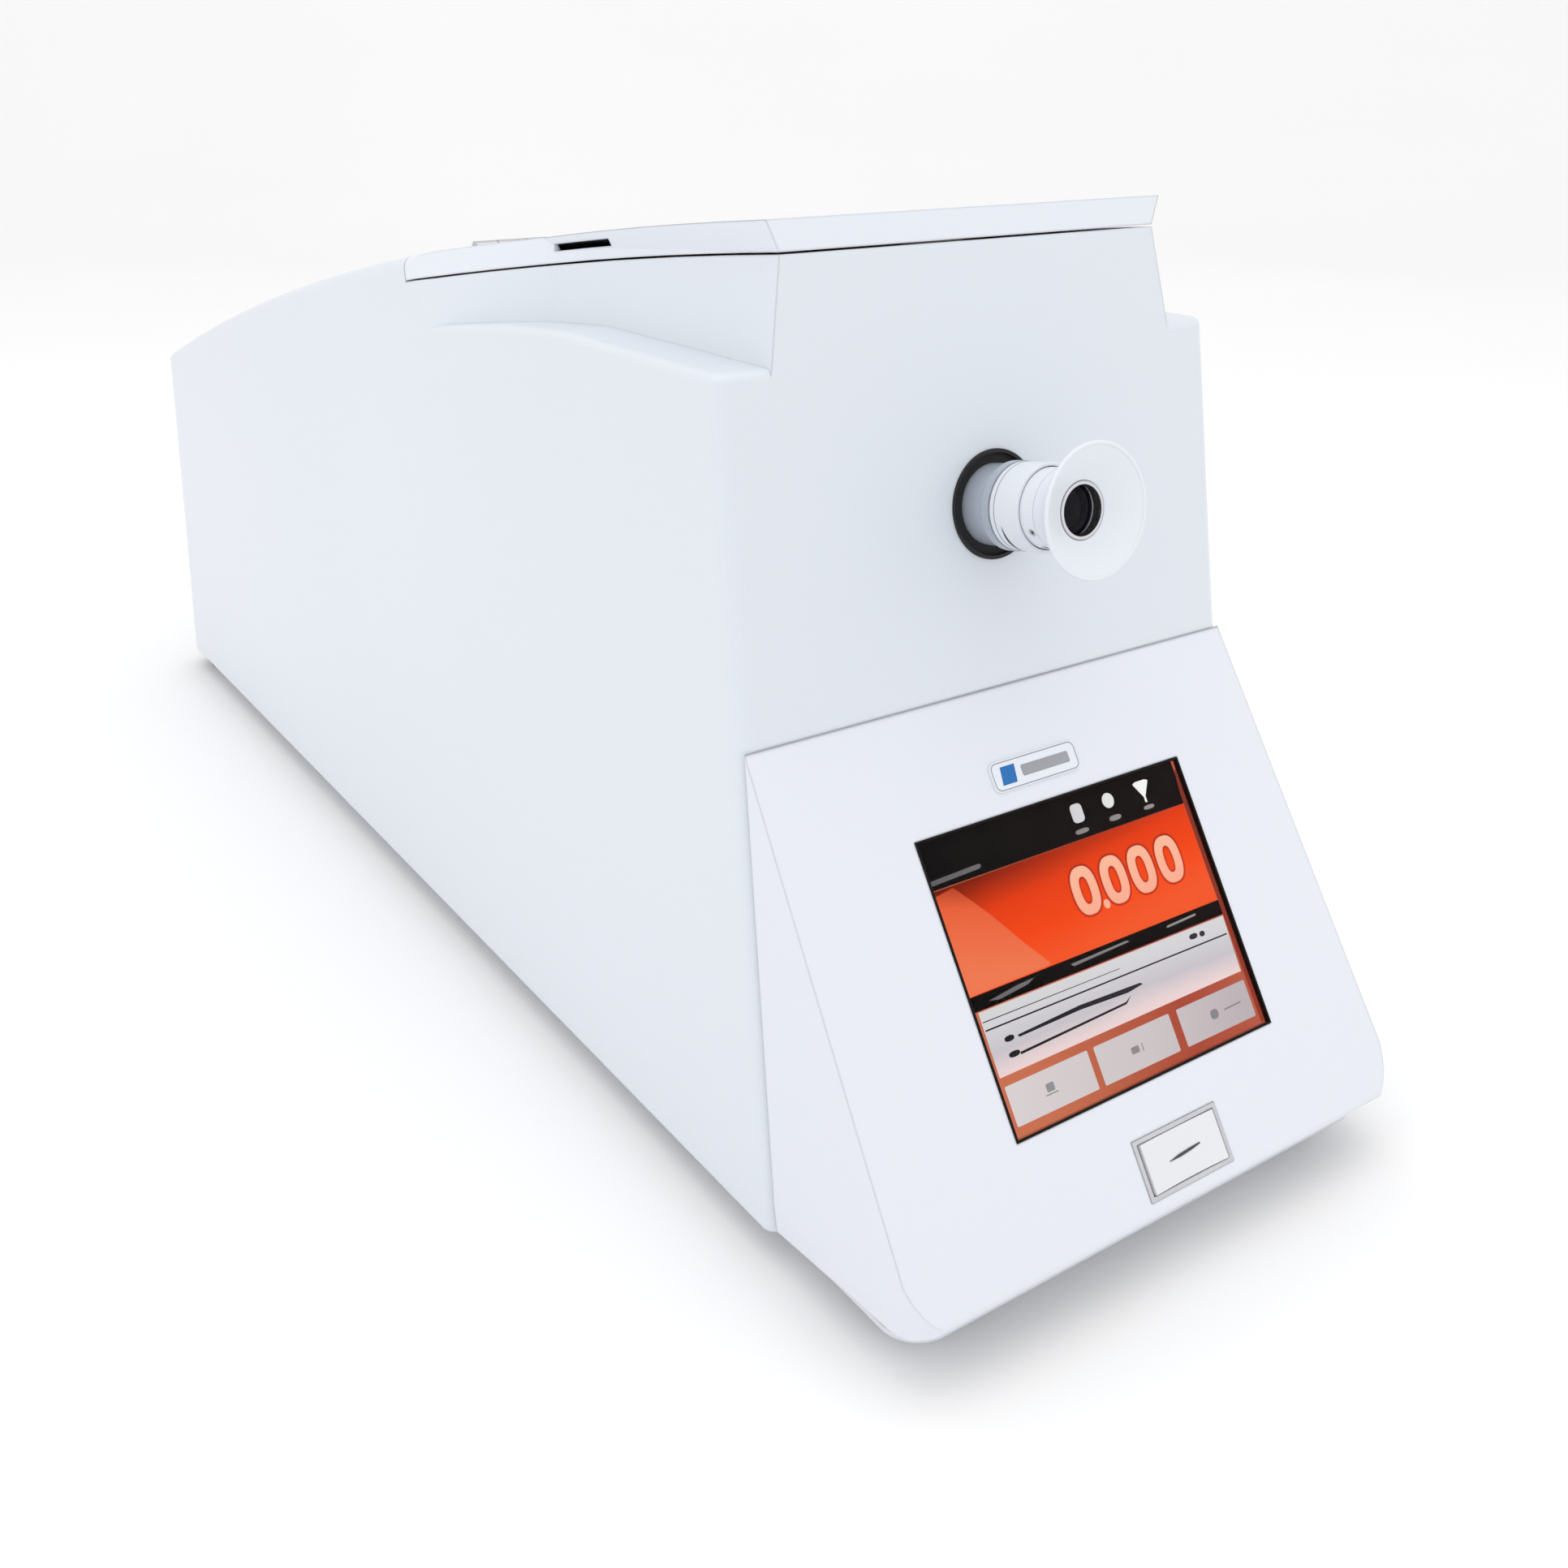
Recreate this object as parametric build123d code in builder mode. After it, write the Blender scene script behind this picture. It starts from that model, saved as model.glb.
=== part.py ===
from build123d import *
from math import asin, atan2, cos, degrees, hypot, pi, radians, sin, tan
import os

os.makedirs("parts", exist_ok=True)

# Bench polarimeter: a long housing on four feet, with a sloped console and an inclined eyepiece
# at the operator's end, and a lidded sample chamber in the roof behind them.
# X runs across, Y from the operator to the rear, Z up. The origin is on the bench top, under the
# middle of the footprint. Sizes are in millimetres, angles in degrees.

# ---- Housing ----
overall_length = 730.0
overall_height = 306.0
width_at_crease = 200.0      # between the side walls, at the height of the crease
side_draft = 0.046           # half-width lost per millimetre of height
crease_z = 166.0             # where the upright face meets the console
face_tilt = 9.6              # lean of the face, which is also the fall of the optical axis
console_run = 97.5           # the console's reach in front of the crease
console_toe_z = 23.0
console_heel_z = 13.5
toe_chin = 7.0
toe_radius = 2.5
toe_loss = 1.2               # what the toe's rounding takes off its reach
console_inset = 1.2          # the console's sides sit this far inside the cover's
rear_tilt = 6.7
roof_rear_z = 191.0
roof_radius = 2930.0
cover_bottom_z = 12.0
wall = 2.5
seam = 0.6
fit = 0.1                    # face to face clearance of fixed pieces
running = 0.06               # radial clearance of turning pieces
slip = 0.3                   # clearance of sliding and swinging faces
far = 400.0                  # longer than any cut needs to be

front_corner = 5.0
rear_corner = 14.0
roof_edge = 4.5
ledge_edge = 3.0

# ---- Shoulders and lid ----
shoulder_z = 268.0
shoulder_half = 77.0         # half-width of the upper section at the shoulder
shoulder_lean = 11.5
shoulder_level_run = 85.0    # level part of the ledge behind the face's top edge
shoulder_fall = 14.5
flare_start = 125.0          # from the face's top edge to where the upper section widens
lid_lip = 8.5
lid_half_low = 71.0
lid_half_high = 74.5
lid_wall = 2.2
lid_margin = 13.6            # from the sample chamber's rear end to the lid's rear edge
finger_slot_length = 38.0
finger_slot_height = 2.2
finger_slot_start = 91.0     # from the lid's front edge

# ---- Lid hinge ----
hinge_span = 100.0           # between the two hinges' middles
hinge_width = 30.0
knuckle_radius = 3.0
hinge_pin_radius = 1.5
hinge_rise = 0.8             # the pin's height over the roof
hinge_leaf = 1.5
hinge_reach = 16.0
notch_rear = 1.2
notch_below = 2.4
notch_above = 2.0

# ---- Eyepiece, measured along the optical axis from the face, rearwards ----
port_rise = 55.8             # up the face, from the crease to the optical axis
port_radius = 16.2
port_lip = 0.9
port_lip_radius = 16.8
port_ring_wall = 0.6
barrel_radius = 12.5
barrel_bore = 9.6
barrel_tail = 34.0
barrel_front = -12.2
barrel_flange_radius = 13.5
barrel_flange = 3.2
spigot_radius = 10.8
spigot_front = -23.0
focus_ring_radius = 13.25
focus_ring_front = -24.5
focus_ring_web = 5.0
cell_radius = 11.95
cell_back = -20.5
neck_front = -30.0
cell_front = -37.0
cell_tube_radius = 9.8
eye_lens_radius = 7.9
eye_aperture = 7.0
focus_travel = 2.0           # each way
cup_rim_radius = 19.8
cup_rim = -44.0
cup_mouth_radius = 8.6
retainer_rim_radius = 8.5

# ---- Optical bench ----
rail_width = 44.0
rail_thickness = 12.0
rail_drop = 38.0             # from the optical axis to the rail's top
rail_start = 14.0
rail_over = 5.0              # past the last part on it
post_inset = 22.0
post_width = 30.0
post_length = 16.0
bracket_width = 40.0

# ---- Analyser ----
gear_module = 1.25
analyser_teeth = 48
pinion_teeth = 16
pressure_angle = 20.0
backlash = 0.16
gear_width = 6.0
analyser_front = 41.0        # front plate of the analyser housing
plate_thickness = 8.0
plate_gap = 20.0
analyser_half_width = 33.0
analyser_top = 34.0
bearing_radius = 17.0
sleeve_radius = 11.0
sleeve_bore = 8.2
encoder_radius = 27.0
encoder_thickness = 1.2
motor_size = 28.0
motor_length = 31.0
motor_shaft_radius = 2.5

# ---- Sample chamber ----
bench_gap = 7.0              # between neighbours on the rail
chamber_half_width = 42.0
chamber_wall = 1.5
chamber_slack = 11.0         # free length beside the closed tube
window_radius = 9.0
deck_margin = 3.0
tube_length = 100.0
tube_radius = 8.0
tube_bore = 6.0
cap_radius = 13.0
cap_length = 11.0
cap_rim = 3.0
cap_aperture = 5.0
trap_radius = 11.0
gasket_width = 3.0
gasket_height = 3.0
trough_half_width = 24.0
trough_top = -8.0

# ---- Light source ----
polariser_length = 16.0
disc_radius = 12.0
disc_thickness = 2.0
collimator_length = 70.0
collimator_radius = 14.0
collimator_bracket_length = 10.0
lamp_length = 42.0
lamp_half_width = 26.0
lamp_top = 28.0
lamp_wall = 2.0
sink_base = 5.0
sink_depth = 35.0
sink_fins = 9
sink_fin = 1.6

# ---- Console fittings, placed down the console's slope from the crease ----
display_width = 112.5
display_height = 93.5
display_x = 3.25
display_down = 86.75
bezel_rim = 0.8
bezel_depth = 4.0
glass_thickness = 1.1
lcd_thickness = 4.0
board_thickness = 1.6
display_board_drop = 7.9
display_board_margin = 6.0
jog_width = 37.0
jog_height = 19.5
jog_x = 5.8
jog_down = 157.75
jog_rim = 1.5
jog_depth = 8.0
jog_pin_drop = 5.0
jog_pin_radius = 1.2
jog_angle = 7.0
badge_width = 36.0
badge_height = 10.0
badge_down = 29.0
badge_thickness = 0.8

# ---- Base ----
base_thickness = 2.0
base_side_gap = 5.1          # inside the cover's outer face
base_front_gap = 9.5
base_rear_gap = 6.0
base_corner = 13.0
foot_height = 11.0
foot_radius = 10.0
foot_front_inset = 20.0      # from the base plate's side edges
foot_rear_inset = 11.0
foot_front_gap = 32.0
foot_rear_gap = 16.5
foot_taper = 4.0
foot_edge = 1.0
foot_recess = 4.5
foot_screw_radius = 2.0
screw_head_radius = 3.4
screw_head_height = 2.2
screw_radius = 1.5
boss_radius = 5.0
boss_inset = 13.0            # from the side wall's outer face
boss_height = 26.0
boss_rib = 3.0
boss_front_gap = 40.0         # behind the crease
boss_rear_gap = 60.0
base_vent_pitch = 9.0
front_vent_gap = 10.0        # behind the crease
supply_vent_gap = 100.0      # in front of the power supply's middle
main_board_width = 140.0
main_board_length = 112.0
standoff_height = 6.0
standoff_radius = 3.0
supply_width = 110.0
supply_length = 125.0
supply_height = 40.0
supply_y = 255.0

# ---- Rear panel, placed up the rear wall from the cover's bottom edge ----
rear_up = 45.0
rear_opening_width = 130.0
rear_opening_height = 50.0
rear_opening_corner = 4.0
rear_screw_margin = 5.0
rear_panel_width = 146.0
rear_panel_height = 62.0
rear_panel_thickness = 2.0
inlet_x = -36.0
inlet_width = 52.0
inlet_height = 30.0
inlet_flange = 2.0
inlet_depth = 24.0
inlet_step = 2.0
socket_offset = -9.0
socket_width = 24.4
socket_height = 16.2
socket_depth = 17.0
drawer_offset = 15.5
drawer_width = 8.4
drawer_height = 21.4
drawer_depth = 17.0
drawer_lip = 1.4
switch_x = 22.0
switch_width = 15.0
switch_height = 21.0
switch_depth = 13.0
switch_rim = 1.8
switch_pin_drop = 4.5
switch_pin_radius = 1.2
port_x = 50.0
port_size = 14.0
port_depth = 15.0

# ---- Places worked out from the sizes above ----
crease_y = console_run - overall_length / 2 - toe_loss
rear_bottom_y = overall_length / 2
base_z = foot_height
base_top_z = base_z + base_thickness
console_drop = crease_z - console_toe_z
console_slope = hypot(console_run, console_drop)


def face_y(z):
    """The face's Y at a height."""
    return crease_y + (z - crease_z) * tan(radians(face_tilt))


def rear_y(z):
    """The rear wall's Y at a height."""
    return rear_bottom_y - (z - cover_bottom_z) * tan(radians(rear_tilt))


def half_width(z):
    """Half the distance between the side walls at a height."""
    return width_at_crease / 2 - side_draft * (z - crease_z)


base_half_width = half_width(cover_bottom_z) - base_side_gap
foot_front_x = base_half_width - foot_front_inset
foot_rear_x = base_half_width - foot_rear_inset
top_front_y = face_y(overall_height)
top_rear_y = rear_y(roof_rear_z)
roof_chord = hypot(top_rear_y - top_front_y, overall_height - roof_rear_z)
roof_sagitta_run = (roof_radius ** 2 - (roof_chord / 2) ** 2) ** 0.5
roof_centre_y = (top_front_y + top_rear_y) / 2 - roof_sagitta_run * (overall_height - roof_rear_z) / roof_chord
roof_centre_z = (overall_height + roof_rear_z) / 2 - roof_sagitta_run * (top_rear_y - top_front_y) / roof_chord

across = (1, 0, 0)
face_up = (0, sin(radians(face_tilt)), cos(radians(face_tilt)))
axis_rear = (0, cos(radians(face_tilt)), -sin(radians(face_tilt)))
axis_front = (0, -cos(radians(face_tilt)), sin(radians(face_tilt)))
port_z = crease_z + port_rise * face_up[2]
port_y = crease_y + port_rise * face_up[1]
port_centre = (0, port_y, port_z)

# Along the bench, measured behind the face
analyser_rear = analyser_front + plate_thickness + plate_gap
chamber_start = analyser_rear + plate_thickness + bench_gap
chamber_length = tube_length + 4 * cap_rim + chamber_slack
chamber_middle = chamber_start + chamber_length / 2
chamber_end = chamber_start + chamber_length
polariser_start = chamber_end + bench_gap
collimator_start = polariser_start + polariser_length + bench_gap
collimator_end = collimator_start + collimator_length
lamp_start = collimator_end + bench_gap
lamp_end = lamp_start + lamp_length
rail_end = lamp_end + sink_depth + rail_over
post_depths = (rail_start + post_inset, (rail_start + rail_end) / 2, rail_end - post_inset)

# The lid covers the chamber, and the upper section widens to the side walls just behind it
lid_rear_y = port_y + chamber_end * axis_rear[1] + (shoulder_z - port_z) * face_up[1] + lid_margin
lid_length = lid_rear_y - top_front_y
flare_end = lid_length + 1.0
optical_axis = Axis(port_centre, axis_rear)
face_plane = Plane(origin=(0, crease_y, crease_z), x_dir=across, z_dir=axis_front)
# (depth behind the face, distance from the optical axis)
turning_plane = Plane(origin=port_centre, x_dir=axis_rear, z_dir=across)
# (across, depth behind the face), at a height over the optical axis
bench_plane = Plane(origin=port_centre, x_dir=across, z_dir=face_up)
console_plane = Plane(
    origin=(0, crease_y, crease_z),
    x_dir=across,
    z_dir=(0, -console_drop / console_slope, console_run / console_slope),
)
rear_plane = Plane(
    origin=(0, rear_bottom_y, cover_bottom_z),
    x_dir=(-1, 0, 0),
    z_dir=(0, cos(radians(rear_tilt)), sin(radians(rear_tilt))),
)


def lens_plane(depth):
    """A plane across the optical axis, facing the operator, at a depth behind the face."""
    return Plane(origin=port_centre, x_dir=across, z_dir=axis_front).offset(-depth)


def save(piece, name):
    """Label a finished piece and write it to its own file."""
    piece.part.label = name
    export_step(piece.part, f"parts/{name}.step")


def roof_slab(low, high, half_low, half_high, y_front, y_rear):
    """A block along the roof's arc, from low to high over the roof, between two Y stations."""
    start = asin((y_front - roof_centre_y) / roof_radius)
    end = asin((y_rear - roof_centre_y) / roof_radius)
    section_plane = Plane(
        origin=(0, roof_centre_y, roof_centre_z), x_dir=across, z_dir=(0, -cos(start), sin(start))
    )
    with BuildPart() as slab:
        with BuildSketch(section_plane):
            Polygon(
                (-half_low, roof_radius + low),
                (half_low, roof_radius + low),
                (half_high, roof_radius + high),
                (-half_high, roof_radius + high),
            )
        revolve(
            axis=Axis((0, roof_centre_y, roof_centre_z), (-1, 0, 0)),
            revolution_arc=degrees(end - start),
        )
    return slab.part


def shoulder_cut(inset):
    """The space outside the upper section and over the ledges, grown by inset."""
    base = shoulder_z - shoulder_fall - 2 * wall
    lean_out = (shoulder_z - base) * tan(radians(shoulder_lean))
    inner = shoulder_half + lean_out - inset
    flare = half_width(shoulder_z - shoulder_fall) + lean_out + wall - inset
    front = top_front_y - 60.0
    rear = top_front_y + flare_end + 20.0
    ledge_end = top_front_y + flare_end
    with BuildPart() as cut:
        with BuildSketch(Plane.XY.offset(base)):
            Polygon(
                (inner, front),
                (inner, top_front_y + flare_start),
                (flare, ledge_end),
                (flare, rear),
                (width_at_crease, rear),
                (width_at_crease, front),
            )
            mirror(about=Plane.YZ)
        extrude(amount=overall_height - base + wall, taper=-shoulder_lean)
        with BuildSketch(Plane.YZ):
            with BuildLine():
                level = shoulder_z - inset
                ledge = ThreePointArc(
                    (top_front_y + shoulder_level_run, level),
                    ((top_front_y + shoulder_level_run + ledge_end) / 2, level - shoulder_fall * 0.4),
                    (ledge_end, level - shoulder_fall),
                )
                Polyline(
                    ledge @ 1,
                    (rear + far, level - shoulder_fall),
                    (rear + far, overall_height + far),
                    (front, overall_height + far),
                    (front, level),
                    ledge @ 0,
                )
            make_face()
        extrude(amount=width_at_crease, both=True, mode=Mode.INTERSECT)
    return cut.part


def drafted(inset, low, high):
    """A long block between the drafted side walls, moved inwards by inset."""
    with BuildPart() as block:
        with BuildSketch(Plane.XZ):
            Polygon(
                (-half_width(low) + inset, low),
                (half_width(low) - inset, low),
                (half_width(high) - inset, high),
                (-half_width(high) + inset, high),
            )
        extrude(amount=overall_length, both=True)
    return block.part


def housing(inset, bottom):
    """The cover's form moved inwards by inset, from the height bottom up, with its rear corners round."""
    high = overall_height + 20.0
    front_shift = inset / cos(radians(face_tilt))
    rear_shift = inset / cos(radians(rear_tilt))
    with BuildPart() as block:
        with BuildSketch(Plane.YZ):
            Polygon(
                (face_y(bottom) + front_shift, bottom),
                (face_y(high) + front_shift, high),
                (rear_y(high) - rear_shift, high),
                (rear_y(bottom) - rear_shift, bottom),
            )
            with Locations((roof_centre_y, roof_centre_z)):
                Circle(roof_radius - inset, mode=Mode.INTERSECT)
        extrude(amount=width_at_crease, both=True)
        add(drafted(inset, bottom, high), mode=Mode.INTERSECT)
        upright = block.edges().filter_by(lambda edge: abs((edge % 0.5).Z) > 0.8)
        fillet(upright.group_by(Axis.Y)[-1], rear_corner - inset)
    return block.part


def box_on(plane, x, y, width, height, low, high):
    """A block on a plane, between two heights over it."""
    with BuildPart() as block:
        with BuildSketch(plane.offset(low)):
            with Locations((x, y)):
                Rectangle(width, height)
        extrude(amount=high - low)
    return block.part


def turned(*outline):
    """A ring turned about the optical axis from (depth, radius) points."""
    with BuildPart() as ring:
        with BuildSketch(turning_plane):
            Polygon(*outline)
        revolve(axis=optical_axis)
    return ring.part


# ---- Housing forms ----
with BuildPart() as outer_form:
    add(housing(0.0, cover_bottom_z))
    uprights = outer_form.edges().filter_by(lambda edge: abs((edge % 0.5).Z) > 0.8)
    fillet(uprights.group_by(Axis.Y)[0], front_corner)
    roof_face = outer_form.faces().sort_by(Axis.Z)[-1]
    fillet(roof_face.edges().filter_by(lambda edge: (edge @ 0.5).Y > top_front_y + lid_lip), roof_edge)
    add(shoulder_cut(0.0), mode=Mode.SUBTRACT)
    ledge_rims = outer_form.edges().filter_by(
        lambda edge: abs((edge @ 0.5).X) > half_width(shoulder_z) - 1.0
        and shoulder_z - shoulder_fall < (edge @ 0.5).Z < shoulder_z + 1.0
        and abs((edge % 0.5).Y) > 0.9
    )
    fillet(ledge_rims, ledge_edge)

with BuildPart() as inner_form:
    add(housing(wall, cover_bottom_z - boss_height))
    add(shoulder_cut(wall), mode=Mode.SUBTRACT)

# Everything of the housing over the lid's lower edge, and the space under the deck below it
slab_front_y = top_front_y - 40.0
lid_space = roof_slab(-lid_lip - seam, 40.0, width_at_crease, width_at_crease, slab_front_y, lid_rear_y + seam)
deck_space = roof_slab(
    -lid_lip - seam - wall, 40.0, width_at_crease, width_at_crease, slab_front_y, lid_rear_y + seam + wall
)

# ---- Lid hinge places ----
hinge_lean = asin((lid_rear_y - roof_centre_y) / roof_radius)
hinge_setback = 2.4
hinge_y = lid_rear_y + hinge_setback * cos(hinge_lean) + hinge_rise * sin(hinge_lean)
hinge_z = (
    roof_centre_z
    + (roof_radius + hinge_rise) * cos(hinge_lean)
    - hinge_setback * sin(hinge_lean)
)


def hinge_plane(x):
    """(along the roof rearwards, out of the roof) from the hinge pin's axis, at an X station."""
    return Plane(origin=(x, hinge_y, hinge_z), x_dir=(0, cos(hinge_lean), -sin(hinge_lean)), z_dir=across)


def hinge_pair(*outline):
    """The same profile at both hinges, as wide as a hinge and its clearance."""
    with BuildPart() as pair:
        for side in (-1, 1):
            start = side * hinge_span / 2 - hinge_width / 2 - slip
            with BuildSketch(hinge_plane(start)):
                Polygon(*outline)
            extrude(amount=hinge_width + 2 * slip)
    return pair.part


notch_reach = knuckle_radius + notch_rear
notch_front = hinge_setback + lid_wall + seam
hinge_notch = hinge_pair(
    (-notch_front, -knuckle_radius - notch_below),
    (notch_reach, -knuckle_radius - notch_below),
    (notch_reach, knuckle_radius + notch_above),
    (-notch_front, knuckle_radius + notch_above),
)

# ---- Main cover: a thin shell with a deck under the lid, screw bosses and openings ----
with BuildPart() as hollow_form:
    add(inner_form.part)
    add(deck_space, mode=Mode.SUBTRACT)

deck_opening_width = 2 * (chamber_half_width - deck_margin)
deck_opening_length = chamber_length - 2 * deck_margin
deck_cut_rise = (shoulder_z - port_z) / 2
boss_x = half_width(cover_bottom_z) - boss_inset
boss_rib_end = half_width(base_top_z + boss_height) - wall / 4
boss_ys = (crease_y + boss_front_gap, rear_bottom_y - boss_rear_gap)
boss_rib_places = [(side * (boss_x + boss_rib_end) / 2, y) for side in (-1, 1) for y in boss_ys]
boss_places = [(side * boss_x, y) for side in (-1, 1) for y in boss_ys]
screw_hole_radius = screw_radius + fit
console_opening_width = 160.0
console_opening_height = 120.0
console_opening_drop = 14.0
vent_length = 90.0
vent_height = 3.0
vent_pitch = 8.0
vent_count = 5
vent_up = 135.0

front_relief = box_on(
    Plane.XY,
    0,
    face_y(cover_bottom_z),
    2 * (base_half_width + seam),
    8 * wall,
    cover_bottom_z - wall,
    base_top_z + seam,
)

with BuildPart() as main_cover:
    add(outer_form.part)
    add(hollow_form.part, mode=Mode.SUBTRACT)
    add(lid_space, mode=Mode.SUBTRACT)
    add(hinge_notch, mode=Mode.SUBTRACT)
    with BuildSketch(bench_plane.offset(deck_cut_rise)):
        with Locations((0, chamber_middle)):
            Rectangle(deck_opening_width, deck_opening_length)
    extrude(amount=far / 4, mode=Mode.SUBTRACT)
    with BuildSketch(lens_plane(0)):
        Circle(port_radius + fit)
    extrude(amount=2 * wall, both=True, mode=Mode.SUBTRACT)
    with BuildSketch(face_plane.offset(-wall)):
        with Locations((0, -console_opening_height / 2 - console_opening_drop)):
            Rectangle(console_opening_width, console_opening_height)
    extrude(amount=2 * wall, both=True, mode=Mode.SUBTRACT)
    add(front_relief, mode=Mode.SUBTRACT)
    with BuildSketch(rear_plane.offset(-wall)):
        with Locations((0, rear_up)):
            RectangleRounded(rear_opening_width, rear_opening_height, rear_opening_corner)
        with Locations((0, vent_up)):
            with GridLocations(0, vent_pitch, 1, vent_count):
                SlotOverall(vent_length, vent_height)
    extrude(amount=2 * wall, both=True, mode=Mode.SUBTRACT)
    rear_screw_x = (rear_opening_width + rear_panel_width) / 4
    rear_screw_up = rear_opening_height / 2 - rear_screw_margin
    with BuildSketch(rear_plane.offset(-wall)):
        with Locations((0, rear_up)):
            with GridLocations(2 * rear_screw_x, 2 * rear_screw_up, 2, 2):
                Circle(screw_hole_radius)
    extrude(amount=2 * wall, both=True, mode=Mode.SUBTRACT)
    with BuildSketch(Plane.XY.offset(base_top_z)):
        with Locations(*boss_places):
            Circle(boss_radius)
        with Locations(*boss_rib_places):
            Rectangle(boss_rib_end - boss_x, boss_rib)
    extrude(amount=boss_height)
    with BuildSketch(Plane.XY.offset(base_top_z)):
        with Locations(*boss_places):
            Circle(screw_radius)
    extrude(amount=boss_height * 0.8, mode=Mode.SUBTRACT)
save(main_cover, "main_cover")

# ---- Lid: a shallow shell with a lip all round and a finger slot each side ----
lip_low = -lid_lip
lip_shell = roof_slab(lip_low, 0.0, lid_half_low, lid_half_high, slab_front_y, lid_rear_y)
lid_band = roof_slab(lip_low, 40.0, width_at_crease, width_at_crease, slab_front_y, lid_rear_y)
lid_core_band = roof_slab(
    lip_low - 1.0, -wall, width_at_crease, width_at_crease, slab_front_y, lid_rear_y - lid_wall
)
lid_core_lip = roof_slab(
    lip_low - 1.0, -wall, lid_half_low - lid_wall, lid_half_high - lid_wall, slab_front_y, lid_rear_y - lid_wall
)
slot_space = roof_slab(
    -wall - finger_slot_height,
    -wall,
    width_at_crease,
    width_at_crease,
    top_front_y + finger_slot_start,
    top_front_y + finger_slot_start + finger_slot_length,
)
front_blade = face_plane.offset(0.0)
core_blade = face_plane.offset(-lid_wall)

with BuildPart() as lip_form:
    add(lip_shell)
    split(bisect_by=front_blade, keep=Keep.BOTTOM)

with BuildPart() as lid_core:
    add(housing(lid_wall, shoulder_z))
    add(shoulder_cut(lid_wall), mode=Mode.SUBTRACT)
    add(lid_core_lip)
    add(lid_core_band, mode=Mode.INTERSECT)
    split(bisect_by=core_blade, keep=Keep.BOTTOM)

with BuildPart() as lid:
    add(outer_form.part)
    add(lid_band, mode=Mode.INTERSECT)
    add(lip_form.part)
    add(lid_core.part, mode=Mode.SUBTRACT)
    add(slot_space, mode=Mode.SUBTRACT)
    add(hinge_notch, mode=Mode.SUBTRACT)
save(lid, "lid")

# ---- Lid hinges: a leaf under the roof, a leaf under the lid, and a pin, at each side ----
leaf_top = -hinge_rise - wall - fit
leaf_low = leaf_top - hinge_leaf
centre_knuckle = hinge_width * 0.4
end_knuckle = (hinge_width - centre_knuckle) / 2 - slip
knuckle_web = 2.0

with BuildPart() as cover_hinge_leaves:
    for side in (-1, 1):
        middle = side * hinge_span / 2
        for start in (middle - hinge_width / 2, middle + hinge_width / 2 - end_knuckle):
            with BuildSketch(hinge_plane(start)):
                Circle(knuckle_radius)
                Polygon((0, leaf_low), (knuckle_web, leaf_low), (knuckle_web, 0), (0, 0))
                Circle(hinge_pin_radius, mode=Mode.SUBTRACT)
            extrude(amount=end_knuckle)
        with BuildSketch(hinge_plane(middle - hinge_width / 2)):
            Polygon((0, leaf_low), (hinge_reach, leaf_low), (hinge_reach, leaf_top), (0, leaf_top))
        extrude(amount=hinge_width)
save(cover_hinge_leaves, "cover_hinge_leaves")

with BuildPart() as lid_hinge_leaves:
    for side in (-1, 1):
        middle = side * hinge_span / 2
        with BuildSketch(hinge_plane(middle - centre_knuckle / 2)):
            Circle(knuckle_radius)
            Polygon((-knuckle_web - 1.0, leaf_low), (-1.0, leaf_low), (-0.5, 0), (-knuckle_web, 0))
            Circle(hinge_pin_radius + running, mode=Mode.SUBTRACT)
        extrude(amount=centre_knuckle)
        with BuildSketch(hinge_plane(middle - centre_knuckle / 2)):
            Polygon(
                (-hinge_reach - notch_front, leaf_low),
                (-1.0, leaf_low),
                (-1.0, leaf_top),
                (-hinge_reach - notch_front, leaf_top),
            )
        extrude(amount=centre_knuckle)
save(lid_hinge_leaves, "lid_hinge_leaves")

with BuildPart() as hinge_pins:
    for side in (-1, 1):
        with BuildSketch(hinge_plane(side * hinge_span / 2 - hinge_width / 2)):
            Circle(hinge_pin_radius)
        extrude(amount=hinge_width)
save(hinge_pins, "hinge_pins")

# ---- Front console: a sloped shell, open at the rear and underneath ----
slope_cos = console_drop / console_slope
slope_sin = console_run / console_slope
toe_y = crease_y - console_run
console_corner = 14.0


def console_block(inset, low, corner):
    """The space between the console's sides, moved inwards by inset, with its front corners round."""
    with BuildPart() as block:
        with BuildSketch(Plane.XY.offset(low)):
            with Locations((0, toe_y + inset + console_run)):
                half = half_width(console_toe_z) - console_inset - inset
                RectangleRounded(2 * half, 2 * console_run, corner)
        extrude(amount=crease_z)
        add(drafted(console_inset + inset, low, crease_z + far), mode=Mode.INTERSECT)
    return block.part


console_outer_block = console_block(0.0, cover_bottom_z, console_corner)
console_inner_block = console_block(wall, cover_bottom_z - wall, console_corner - wall)
display_place = (display_x, -display_down)
jog_place = (jog_x, -jog_down)
badge_place = (0, -badge_down)

with BuildPart() as console_hollow:
    with BuildSketch(Plane.YZ):
        Polygon(
            (crease_y + wall * slope_cos + wall * slope_sin, crease_z - wall * slope_sin + wall * slope_cos),
            (toe_y + wall * slope_cos, console_toe_z - wall * slope_sin),
            (toe_y + wall * slope_cos, cover_bottom_z - wall),
            (crease_y + wall * 2, cover_bottom_z - wall),
        )
    extrude(amount=width_at_crease, both=True)
    add(console_inner_block, mode=Mode.INTERSECT)

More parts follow.
